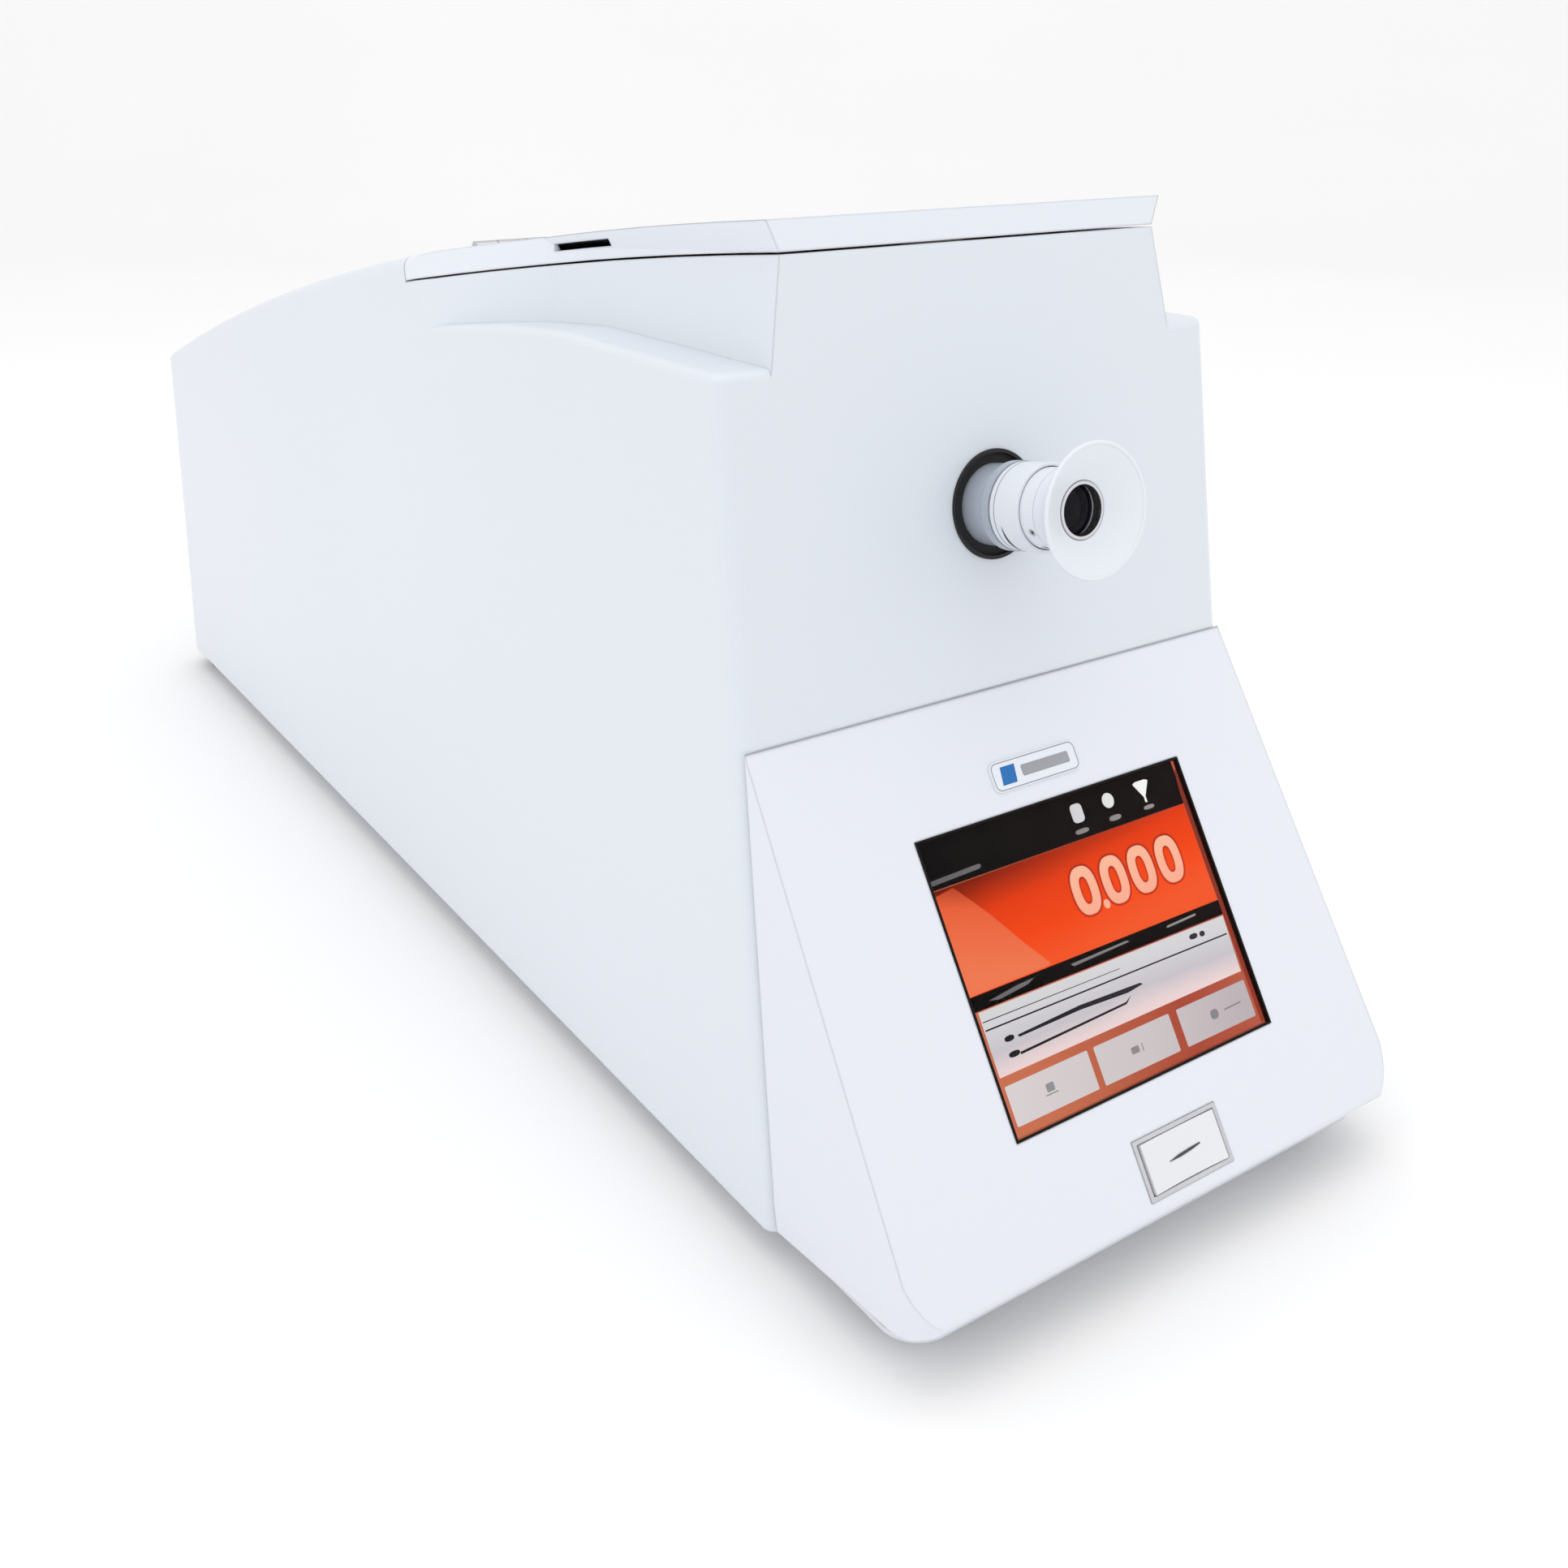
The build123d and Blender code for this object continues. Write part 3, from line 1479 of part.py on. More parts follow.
lamp_board = 20.0
with BuildPart() as lamp_led:
    with BuildSketch(lens_plane(lamp_end)):
        Rectangle(lamp_board, lamp_board)
    extrude(amount=board_thickness)
    add(
        turned(
            (lamp_end - board_thickness, 0),
            (lamp_end - board_thickness, 3.0),
            (lamp_end - board_thickness - 1.5, 3.0),
            (lamp_end - board_thickness - 3.5, 1.8),
            (lamp_end - board_thickness - 4.2, 0),
        )
    )
save(lamp_led, "lamp_led")

# ---- Base plate, feet and their screws ----
base_front_y = toe_y + base_front_gap
base_rear_y = rear_bottom_y - base_rear_gap
foot_corners = ((foot_front_x, toe_y + foot_front_gap), (foot_rear_x, rear_bottom_y - foot_rear_gap))
foot_places = [(side * x, y) for side in (-1, 1) for x, y in foot_corners]

with BuildPart() as base_plate:
    with BuildSketch(Plane.XY.offset(base_z)):
        with Locations((0, (base_front_y + base_rear_y) / 2)):
            RectangleRounded(2 * base_half_width, base_rear_y - base_front_y, base_corner)
        with Locations(*foot_places):
            Circle(foot_screw_radius + fit, mode=Mode.SUBTRACT)
        with Locations(*boss_places):
            Circle(screw_hole_radius, mode=Mode.SUBTRACT)
        with Locations((0, supply_y - supply_vent_gap)):
            with GridLocations(0, base_vent_pitch, 1, 3):
                SlotOverall(vent_length, vent_height, mode=Mode.SUBTRACT)
        with Locations((0, crease_y + front_vent_gap)):
            with GridLocations(0, base_vent_pitch, 1, 3):
                SlotOverall(vent_length, vent_height, mode=Mode.SUBTRACT)
    extrude(amount=base_thickness)
save(base_plate, "base_plate")

with BuildPart() as feet:
    with BuildSketch(Plane.XY.offset(base_z)):
        with Locations(*foot_places):
            Circle(foot_radius)
    extrude(amount=-foot_height, taper=foot_taper)
    fillet(feet.edges().group_by(Axis.Z)[0], foot_edge)
    with BuildSketch(Plane.XY):
        with Locations(*foot_places):
            Circle(screw_head_radius + slip)
    extrude(amount=foot_recess, mode=Mode.SUBTRACT)
    with BuildSketch(Plane.XY):
        with Locations(*foot_places):
            Circle(foot_screw_radius + fit)
    extrude(amount=foot_height, mode=Mode.SUBTRACT)
save(feet, "feet")

# ---- Electronics on the base plate ----
board_grid = (main_board_width - 12.0, main_board_length - 12.0)
main_board_y = (rail_posts_y(post_depths[1]) + rail_posts_y(post_depths[2])) / 2
board_low = base_top_z + standoff_height
board_top = board_low + board_thickness
with BuildPart() as board_standoffs:
    with BuildSketch(Plane.XY.offset(base_top_z)):
        with Locations((0, main_board_y)):
            with GridLocations(*board_grid, 2, 2):
                RegularPolygon(standoff_radius, 6)
    extrude(amount=standoff_height)
    with BuildSketch(console_plane.offset(-display_board_drop)):
        with Locations(display_place):
            with GridLocations(*display_posts, 2, 2):
                Circle(display_board_margin / 3)
    extrude(amount=display_board_drop - wall)
save(board_standoffs, "board_standoffs")

board_corner = 3.0
components = (               # place across and along the board, width, length, height
    (-30.0, 20.0, 22.0, 22.0, 2.4),
    (12.0, 22.0, 16.0, 12.0, 2.0),
    (45.0, 10.0, 12.0, 26.0, 9.0),
    (-52.0, -28.0, 10.0, 34.0, 8.0),
    (0.0, -42.0, 44.0, 7.0, 9.0),
)
capacitor_place = (30.0, -18.0)
capacitor_pitch = 14.0
capacitor_radius = 5.0
capacitor_height = 14.0
with BuildPart() as main_board:
    with BuildSketch(Plane.XY.offset(board_low)):
        with Locations((0, main_board_y)):
            RectangleRounded(main_board_width, main_board_length, board_corner)
    extrude(amount=board_thickness)
    for x, y, width, length, height in components:
        with BuildSketch(Plane.XY.offset(board_top)):
            with Locations((x, main_board_y + y)):
                Rectangle(width, length)
        extrude(amount=height)
    with BuildSketch(Plane.XY.offset(board_top)):
        with Locations((capacitor_place[0], main_board_y + capacitor_place[1])):
            with GridLocations(capacitor_pitch, capacitor_pitch, 2, 2):
                Circle(capacitor_radius)
    extrude(amount=capacitor_height)
save(main_board, "main_board")

supply_slots = 11
supply_slot_pitch = 8.0
supply_slot_share = 0.6      # of the supply's length
supply_slot_width = 3.0
supply_slot_depth = 3.0
with BuildPart() as power_supply:
    with BuildSketch(Plane.XY.offset(base_top_z)):
        with Locations((0, supply_y)):
            Rectangle(supply_width, supply_length)
    extrude(amount=supply_height)
    with BuildSketch(Plane.XY.offset(base_top_z + supply_height)):
        with Locations((0, supply_y)):
            with GridLocations(supply_slot_pitch, 0, supply_slots, 1):
                SlotOverall(supply_length * supply_slot_share, supply_slot_width, rotation=90)
    extrude(amount=-supply_slot_depth, mode=Mode.SUBTRACT)
save(power_supply, "power_supply")

# ---- Rear panel with the mains inlet, fuse drawer, power switch and data port ----
panel_outer = -wall
panel_inner = panel_outer - rear_panel_thickness
inlet_place = (inlet_x, rear_up)
socket_place = (inlet_x + socket_offset, rear_up)
drawer_place = (inlet_x + drawer_offset, rear_up)
switch_place = (switch_x, rear_up)
port_place = (port_x, rear_up)

with BuildPart() as rear_panel:
    with BuildSketch(rear_plane.offset(panel_inner)):
        with Locations((0, rear_up)):
            RectangleRounded(rear_panel_width, rear_panel_height, 3.0)
            with GridLocations(2 * rear_screw_x, 2 * rear_screw_up, 2, 2):
                Circle(screw_hole_radius, mode=Mode.SUBTRACT)
        with Locations(inlet_place):
            Rectangle(inlet_width - 2 * inlet_step, inlet_height - 2 * inlet_step, mode=Mode.SUBTRACT)
        with Locations(switch_place):
            Rectangle(switch_width, switch_height, mode=Mode.SUBTRACT)
        with Locations(port_place):
            Rectangle(port_size, port_size, mode=Mode.SUBTRACT)
    extrude(amount=rear_panel_thickness)
save(rear_panel, "rear_panel")

with BuildPart() as case_screws:
    with BuildSketch(Plane.XY.offset(foot_recess - screw_head_height)):
        with Locations(*foot_places):
            Circle(screw_head_radius)
    extrude(amount=screw_head_height)
    with BuildSketch(Plane.XY.offset(foot_recess)):
        with Locations(*foot_places):
            Circle(foot_screw_radius)
    extrude(amount=base_top_z + 2.0 - foot_recess)
    with BuildSketch(Plane.XY.offset(base_z)):
        with Locations(*boss_places):
            Circle(screw_head_radius)
    extrude(amount=-screw_head_height / 2)
    with BuildSketch(Plane.XY.offset(base_z)):
        with Locations(*boss_places):
            Circle(screw_radius)
    extrude(amount=boss_height * 0.6)
    with BuildSketch(rear_plane):
        with Locations((0, rear_up)):
            with GridLocations(2 * rear_screw_x, 2 * rear_screw_up, 2, 2):
                Circle(screw_head_radius * 0.85)
    extrude(amount=screw_head_height * 0.7)
    with BuildSketch(rear_plane):
        with Locations((0, rear_up)):
            with GridLocations(2 * rear_screw_x, 2 * rear_screw_up, 2, 2):
                Circle(screw_radius)
    extrude(amount=panel_inner - 3.0)
save(case_screws, "case_screws")

inlet_face = panel_outer + inlet_flange
with BuildPart() as power_inlet:
    with BuildSketch(rear_plane.offset(panel_outer)):
        with Locations(inlet_place):
            RectangleRounded(inlet_width, inlet_height, 2.0)
    extrude(amount=inlet_flange)
    with BuildSketch(rear_plane.offset(panel_outer)):
        with Locations(inlet_place):
            Rectangle(inlet_width - 2 * inlet_step - 2 * fit, inlet_height - 2 * inlet_step - 2 * fit)
    extrude(amount=-inlet_depth)
    with BuildSketch(rear_plane.offset(inlet_face)) as socket_mouth:
        with Locations(socket_place):
            Rectangle(socket_width, socket_height)
        chamfer(socket_mouth.vertices().group_by(Axis.Y)[-1], 4.0)
    extrude(amount=-socket_depth, mode=Mode.SUBTRACT)
    with BuildSketch(rear_plane.offset(inlet_face)):
        with Locations(drawer_place):
            Rectangle(drawer_width + 2 * slip, drawer_height + 2 * slip)
    extrude(amount=-drawer_depth - slip, mode=Mode.SUBTRACT)
save(power_inlet, "power_inlet")

pin_length = socket_depth - 3.0
socket_floor = inlet_face - socket_depth
with BuildPart() as inlet_pins:
    with BuildSketch(rear_plane.offset(socket_floor)):
        with Locations(socket_place):
            with Locations((-7.0, -2.0), (7.0, -2.0), (0, 2.0)):
                Rectangle(2.0, 4.0)
    extrude(amount=pin_length)
save(inlet_pins, "inlet_pins")

with BuildPart() as fuse_drawer:
    with BuildSketch(rear_plane.offset(inlet_face - drawer_depth)):
        with Locations(drawer_place):
            Rectangle(drawer_width, drawer_height)
    extrude(amount=drawer_depth + slip)
    with BuildSketch(rear_plane.offset(inlet_face + slip)):
        with Locations(drawer_place):
            RectangleRounded(drawer_width + 2.4, drawer_height + 2.4, 1.0)
    extrude(amount=drawer_lip)
save(fuse_drawer, "fuse_drawer")

switch_inner_width = switch_width - 2 * switch_rim
switch_inner_height = switch_height - 2 * switch_rim
switch_face = panel_outer + inlet_flange


def switch_section(side):
    """(up the rear wall, outwards) through the power switch, at a distance from its middle."""
    origin = rear_plane.from_local_coords((switch_x + side, rear_up, 0))
    return Plane(origin=origin, x_dir=(0, -sin(radians(rear_tilt)), cos(radians(rear_tilt))), z_dir=(-1, 0, 0))


with BuildPart() as switch_frame:
    with BuildSketch(rear_plane.offset(panel_outer)):
        with Locations(switch_place):
            RectangleRounded(switch_width + 4.0, switch_height + 4.0, 1.5)
    extrude(amount=inlet_flange)
    with BuildSketch(rear_plane.offset(panel_outer)):
        with Locations(switch_place):
            Rectangle(switch_width - 2 * fit, switch_height - 2 * fit)
    extrude(amount=-switch_depth)
    with BuildSketch(rear_plane.offset(switch_face)):
        with Locations(switch_place):
            Rectangle(switch_inner_width, switch_inner_height)
    extrude(amount=-switch_depth, mode=Mode.SUBTRACT)
    with BuildSketch(switch_section(-switch_width)):
        with Locations((0, switch_face - switch_pin_drop)):
            Circle(switch_pin_radius)
    extrude(amount=2 * switch_width, both=True, mode=Mode.SUBTRACT)
save(switch_frame, "switch_frame")

switch_half = switch_inner_height / 2 - 0.9
switch_rise = 1.6
with BuildPart() as power_switch:
    with BuildSketch(switch_section(slip - switch_inner_width / 2)):
        with BuildLine():
            hollow = ThreePointArc(
                (-switch_half, switch_face + switch_rise), (0, switch_face), (switch_half, switch_face + switch_rise)
            )
            Polyline(
                hollow @ 1, (switch_half, switch_face - 2.0), (-switch_half, switch_face - 2.0), hollow @ 0
            )
        make_face()
        with Locations((0, switch_face - switch_pin_drop)):
            Circle(2.6)
        with Locations((0, switch_face - switch_pin_drop / 2 - 0.5)):
            Rectangle(5.2, switch_pin_drop - 1.0)
        with Locations((0, switch_face - switch_pin_drop)):
            Circle(switch_pin_radius + running, mode=Mode.SUBTRACT)
    extrude(amount=switch_inner_width - 2 * slip)
save(power_switch, "power_switch")

with BuildPart() as rocker_pins:
    with BuildSketch(switch_section(-switch_width / 2 + 2 * fit)):
        with Locations((0, switch_face - switch_pin_drop)):
            Circle(switch_pin_radius)
    extrude(amount=switch_width - 4 * fit)
    with BuildSketch(jog_section(jog_height / 2 - 2 * fit)):
        with Locations((0, -jog_pin_drop)):
            Circle(jog_pin_radius)
    extrude(amount=jog_height - 4 * fit)
save(rocker_pins, "rocker_pins")

port_wall = 1.0
port_tongue_recess = 4.0
with BuildPart() as data_port:
    with BuildSketch(rear_plane.offset(panel_outer + 1.0)):
        with Locations(port_place):
            Rectangle(port_size - 2 * fit, port_size - 2 * fit)
    extrude(amount=-port_depth)
    with BuildSketch(rear_plane.offset(panel_outer + 1.0)):
        with Locations(port_place):
            Rectangle(port_size - 2 * fit - 2 * port_wall, port_size - 2 * fit - 2 * port_wall)
    extrude(amount=-port_depth + port_wall * 2, mode=Mode.SUBTRACT)
    with BuildSketch(rear_plane.offset(panel_outer - port_tongue_recess)):
        with Locations(port_place):
            Rectangle(port_size * 0.4, port_size * 0.22)
    extrude(amount=-port_depth + port_tongue_recess + port_wall * 2)
save(data_port, "data_port")
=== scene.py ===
import math

import bpy
from mathutils import Matrix, Vector


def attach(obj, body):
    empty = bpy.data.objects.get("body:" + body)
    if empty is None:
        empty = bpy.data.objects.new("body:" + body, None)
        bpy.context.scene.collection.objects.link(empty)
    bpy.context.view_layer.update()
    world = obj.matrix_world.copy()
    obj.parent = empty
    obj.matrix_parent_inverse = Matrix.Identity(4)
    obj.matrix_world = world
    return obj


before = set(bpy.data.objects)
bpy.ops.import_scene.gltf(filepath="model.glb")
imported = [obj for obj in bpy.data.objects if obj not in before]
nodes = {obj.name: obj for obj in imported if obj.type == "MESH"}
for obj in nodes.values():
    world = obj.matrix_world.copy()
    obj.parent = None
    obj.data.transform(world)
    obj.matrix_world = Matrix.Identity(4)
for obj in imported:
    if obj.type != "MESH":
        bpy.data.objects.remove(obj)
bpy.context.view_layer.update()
MM = 0.001

# ---------------------------------------------------------------- places on the instrument
CREASE = Vector((0.0, -0.2687, 0.166))
SLOPE_RUN, SLOPE_DROP = 0.0975, 0.143
SLOPE = math.hypot(SLOPE_RUN, SLOPE_DROP)
ACROSS = Vector((1, 0, 0))
DOWN = Vector((0, -SLOPE_RUN, -SLOPE_DROP)) / SLOPE
OUT = Vector((0, -SLOPE_DROP, SLOPE_RUN)) / SLOPE
SCREEN_WIDTH, SCREEN_HEIGHT = 112.5, 93.5
SCREEN_CORNER = CREASE + ACROSS * (3.25 - SCREEN_WIDTH / 2) * MM + DOWN * (86.75 - SCREEN_HEIGHT / 2) * MM
LCD_TOP = -1.5
JOG_CENTRE = CREASE + ACROSS * 5.8 * MM + DOWN * 157.75 * MM
TILT = math.radians(9.6)
AXIS_REAR = Vector((0, math.cos(TILT), -math.sin(TILT)))
FACE_UP = Vector((0, math.sin(TILT), math.cos(TILT)))
PORT = Vector((0, CREASE.y + 0.0558 * math.sin(TILT), CREASE.z + 0.0558 * math.cos(TILT)))
REAR_LEAN = math.radians(6.7)
REAR_ORIGIN = Vector((0, 0.365, 0.012))
REAR_UP = Vector((0, -math.sin(REAR_LEAN), math.cos(REAR_LEAN)))
REAR_OUT = Vector((0, math.cos(REAR_LEAN), math.sin(REAR_LEAN)))


# ---------------------------------------------------------------- material nodes
class Graph:
    """A material's node tree, with short calls for the nodes used here."""

    def __init__(self, name):
        self.material = bpy.data.materials.new(name)
        self.material.use_nodes = True
        self.tree = self.material.node_tree
        self.tree.nodes.clear()
        self.shader = self.add("ShaderNodeBsdfPrincipled")
        output = self.add("ShaderNodeOutputMaterial")
        self.link(self.shader.outputs[0], output.inputs["Surface"])
        self.place = self.add("ShaderNodeTexCoord").outputs["Object"]

    def add(self, kind, **values):
        node = self.tree.nodes.new(kind)
        for key, value in values.items():
            setattr(node, key, value)
        return node

    def link(self, start, end):
        self.tree.links.new(start, end)

    def set(self, **values):
        for key, value in values.items():
            self.shader.inputs[key.replace("_", " ")].default_value = value

    def mapped(self, scale=(1, 1, 1), turn=(0, 0, 0)):
        mapping = self.add("ShaderNodeMapping")
        mapping.inputs["Scale"].default_value = scale
        mapping.inputs["Rotation"].default_value = turn
        self.link(self.place, mapping.inputs["Vector"])
        return mapping.outputs[0]

    def noise(self, scale, detail=2.0, source=None, distortion=0.0):
        node = self.add("ShaderNodeTexNoise")
        node.inputs["Scale"].default_value = scale
        node.inputs["Detail"].default_value = detail
        node.inputs["Distortion"].default_value = distortion
        self.link(source or self.place, node.inputs["Vector"])
        return node.outputs["Fac"]

    def ramp(self, value, stops):
        node = self.add("ShaderNodeValToRGB")
        elements = node.color_ramp.elements
        while len(elements) < len(stops):
            elements.new(0.5)
        for element, (place, color) in zip(elements, stops):
            element.position = place
            element.color = (*color, 1)
        self.link(value, node.inputs[0])
        return node.outputs[0]

    def spread(self, value, low, high, start=0.3, end=0.7):
        node = self.add("ShaderNodeMapRange")
        for socket, number in zip(("From Min", "From Max", "To Min", "To Max"), (start, end, low, high)):
            node.inputs[socket].default_value = number
        self.link(value, node.inputs["Value"])
        return node.outputs[0]

    def bump(self, height, strength, distance, soft=0.0):
        node = self.add("ShaderNodeBump")
        node.inputs["Strength"].default_value = strength
        node.inputs["Distance"].default_value = distance
        self.link(height, node.inputs["Height"])
        if soft:
            edge = self.add("ShaderNodeBevel", samples=4)
            edge.inputs["Radius"].default_value = soft
            self.link(edge.outputs[0], node.inputs["Normal"])
        self.link(node.outputs[0], self.shader.inputs["Normal"])


def near(color, change):
    return tuple(max(0.0, min(1.0, part * change)) for part in color)


def coated(name, color, low=0.3, high=0.34, coat=0.15, peel=900, soft=0.0012):
    """Sprayed or moulded gloss: orange peel, faint clouding and a thin clear coat."""
    g = Graph(name)
    cloud = g.noise(3.0, 2.0)
    g.link(g.ramp(cloud, [(0.3, near(color, 0.985)), (0.7, near(color, 1.01))]),
           g.shader.inputs["Base Color"])
    g.link(g.spread(g.noise(12.0, 2.0), low, high), g.shader.inputs["Roughness"])
    g.set(Coat_Weight=coat, Coat_Roughness=0.12)
    g.bump(g.noise(peel, 1.0), 0.03, 0.0001, soft)
    return g.material


def moulded(name, color, low=0.42, high=0.58, grain=1800, height=0.14, shine=0.35):
    """Matt moulded plastic with a fine spark-eroded grain."""
    g = Graph(name)
    tint = g.noise(22.0, 4.0)
    g.link(g.ramp(tint, [(0.3, near(color, 0.88)), (0.72, near(color, 1.1))]), g.shader.inputs["Base Color"])
    g.link(g.spread(g.noise(160.0, 3.0), low, high), g.shader.inputs["Roughness"])
    g.set(Specular_IOR_Level=shine)
    g.bump(g.noise(grain, 3.0), height, 0.0002, 0.0003)
    return g.material


def rubbery(name, color):
    """Dull rubber with a dusty bloom and pores."""
    g = Graph(name)
    bloom = g.noise(60.0, 6.0)
    g.link(g.ramp(bloom, [(0.35, color), (0.75, near(color, 1.9))]), g.shader.inputs["Base Color"])
    g.link(g.spread(bloom, 0.62, 0.85), g.shader.inputs["Roughness"])
    g.set(Specular_IOR_Level=0.35)
    g.bump(g.noise(2400.0, 2.0), 0.25, 0.0002)
    return g.material


def metal(name, color, stretch=(1, 1, 1), low=0.22, high=0.42, lines=900, height=0.08):
    """Machined or brushed metal, its tool marks drawn out along the long side of the stretch."""
    g = Graph(name)
    marks = g.noise(lines, 3.0, g.mapped(stretch))
    stain = g.noise(30.0, 5.0)
    g.link(g.ramp(stain, [(0.3, near(color, 0.86)), (0.7, near(color, 1.06))]), g.shader.inputs["Base Color"])
    g.link(g.spread(marks, low, high), g.shader.inputs["Roughness"])
    g.set(Metallic=1.0)
    g.bump(marks, height, 0.0001, 0.0002)
    return g.material


def anodised(name, color):
    """Bead-blasted, anodised aluminium."""
    g = Graph(name)
    g.link(g.ramp(g.noise(25.0, 4.0), [(0.3, near(color, 0.8)), (0.7, near(color, 1.25))]),
           g.shader.inputs["Base Color"])
    g.link(g.spread(g.noise(300.0, 2.0), 0.4, 0.55), g.shader.inputs["Roughness"])
    g.set(Metallic=0.6)
    g.bump(g.noise(2600.0, 2.0), 0.2, 0.0001, 0.0002)
    return g.material


def clear(name, color, rough=0.02, through=1.0, thickness=1.45):
    """Glass, with a trace of dust in its gloss."""
    g = Graph(name)
    g.link(g.spread(g.noise(70.0, 4.0), rough, rough + 0.03, 0.5, 0.8), g.shader.inputs["Roughness"])
    g.link(g.ramp(g.noise(12.0, 2.0), [(0.3, near(color, 0.97)), (0.7, color)]),
           g.shader.inputs["Base Color"])
    g.set(Transmission_Weight=through, IOR=thickness)
    return g.material


def painted_shade_glass(name):
    """A coated lens over a dark tube: painted black for the shade inside the tube, with a trace of violet."""
    g = Graph(name)
    g.link(g.ramp(g.noise(120.0, 2.0), [(0.3, (0.002, 0.002, 0.003)), (0.8, (0.010, 0.007, 0.016))]),
           g.shader.inputs["Base Color"])
    g.link(g.spread(g.noise(90.0, 3.0), 0.02, 0.05), g.shader.inputs["Roughness"])
    g.set(IOR=1.2)
    return g.material


def board(name):
    """Green solder mask over copper tracks and round pads."""
    g = Graph(name)
    tracks = g.add("ShaderNodeTexBrick")
    tracks.inputs["Scale"].default_value = 60.0
    tracks.inputs["Mortar Size"].default_value = 0.03
    tracks.inputs["Color1"].default_value = (0.012, 0.10, 0.04, 1)
    tracks.inputs["Color2"].default_value = (0.010, 0.085, 0.035, 1)
    tracks.inputs["Mortar"].default_value = (0.03, 0.2, 0.07, 1)
    g.link(g.place, tracks.inputs["Vector"])
    pads = g.add("ShaderNodeTexVoronoi")
    pads.inputs["Scale"].default_value = 210.0
    g.link(g.place, pads.inputs["Vector"])
    mix = g.add("ShaderNodeMix", data_type="RGBA")
    g.link(g.spread(pads.outputs["Distance"], 1.0, 0.0, 0.14, 0.17), mix.inputs["Factor"])
    g.link(tracks.outputs["Color"], mix.inputs["A"])
    mix.inputs["B"].default_value = (0.55, 0.5, 0.36, 1)
    g.link(mix.outputs["Result"], g.shader.inputs["Base Color"])
    g.link(g.spread(g.noise(80.0, 2.0), 0.3, 0.45), g.shader.inputs["Roughness"])
    g.bump(tracks.outputs["Fac"], 0.2, 0.0001)
    return g.material


def along(g, origin, direction, low, high):
    """How far a point lies along a direction, from 0 at low to 1 at high, in metres from an origin."""
    shift = g.add("ShaderNodeVectorMath", operation="SUBTRACT")
    shift.inputs[1].default_value = origin
    g.link(g.place, shift.inputs[0])
    dot = g.add("ShaderNodeVectorMath", operation="DOT_PRODUCT")
    dot.inputs[1].default_value = direction
    g.link(shift.outputs[0], dot.inputs[0])
    return g.spread(dot.outputs["Value"], 0.0, 1.0, low, high)


def lit(name, stops, direction, low, high, glow=1.0, mottle=0.0):
    """A lit patch of the display: its light runs through colours along a direction, over dark glass."""
    g = Graph(name)
    run = along(g, SCREEN_CORNER, direction, low * MM, high * MM)
    if mottle:
        sway = g.add("ShaderNodeMath", operation="MULTIPLY_ADD")
        g.link(g.noise(28.0, 2.0), sway.inputs[0])
        sway.inputs[1].default_value = mottle
        g.link(run, sway.inputs[2])
        run = sway.outputs[0]
    g.link(g.ramp(run, stops), g.shader.inputs["Emission Color"])
    g.link(g.spread(g.noise(3000.0, 1.0), 0.45, 0.6), g.shader.inputs["Roughness"])
    g.link(g.ramp(g.noise(40.0, 2.0), [(0.3, (0.003, 0.002, 0.002)), (0.7, (0.006, 0.004, 0.004))]),
           g.shader.inputs["Base Color"])
    g.set(Emission_Strength=glow, Specular_IOR_Level=0.02)
    return g.material


WHITE = (0.715, 0.755, 0.81)
paint = coated("white_paint", WHITE)
# The lid takes a lighter copy of the cover's white paint: painted light on the lid's upper side.
paint_lid_lit = coated("white_paint_lid_painted_light", (0.765, 0.795, 0.855))
shell = coated("white_console", (0.745, 0.77, 0.83), 0.32, 0.38, 0.1, 1200)
white_soft = coated("white_eyepiece", (0.765, 0.795, 0.85), 0.34, 0.4, 0.1, 1400, 0.0003)
white_key = coated("white_key", (0.76, 0.765, 0.79), 0.34, 0.4, 0.1, 1500, 0.0004)
key_frame = moulded("key_frame_grey", (0.56, 0.565, 0.59), 0.35, 0.5, 1500, 0.06)
grey = moulded("grey_plastic", (0.4, 0.41, 0.43))
black = moulded("black_plastic", (0.010, 0.010, 0.012))
bezel_black = moulded("bezel_black", (0.006, 0.003, 0.003), 0.55, 0.65, 1500, 0.03, 0.15)
rubber = rubbery("black_rubber", (0.012, 0.012, 0.013))
steel = metal("brushed_steel", (0.6, 0.61, 0.63), (1, 1, 6))
satin = metal("satin_aluminium", (0.72, 0.73, 0.75), (6, 1, 1), 0.3, 0.46)
# The white eyepiece barrel is darkened to grey here: painted shade.
barrel_shaded_white = coated("barrel_white_painted_shade", (0.40, 0.44, 0.51), 0.22, 0.3, 0.4, 1500, 0.0004)
anodised_black = anodised("black_anodised", (0.02, 0.02, 0.023))
brass = metal("turned_brass", (0.75, 0.56, 0.24), (1, 5, 1), 0.2, 0.36)
gold = metal("gold_contacts", (0.85, 0.64, 0.28), (1, 1, 3), 0.18, 0.3)
glass = clear("clear_glass", (0.97, 0.985, 1.0))
touch = clear("touch_glass", (1.0, 1.0, 1.0), 0.0, 1.0, 1.08)
yellow = clear("yellow_glass", (0.98, 0.75, 0.08), 0.03)
film = clear("polarising_film", (0.3, 0.32, 0.36), 0.03)
liquid = clear("sample_liquid", (0.93, 0.96, 0.99), 0.0, 1.0, 1.33)
lens_painted_shade = painted_shade_glass("eye_lens_glass")
pcb = board("circuit_board")
plate = coated("badge_plate", (0.76, 0.79, 0.85), 0.3, 0.36, 0.2, 1500, 0.0003)
dark_print_and_shade = moulded("dark_print_and_painted_shade", (0.06, 0.06, 0.07), 0.4, 0.5, 1500, 0.03)
printed_grey = moulded("printed_grey", (0.35, 0.36, 0.39), 0.4, 0.5, 1500, 0.03)
printed_blue = moulded("printed_blue", (0.01, 0.16, 0.48), 0.4, 0.5, 1500, 0.03)
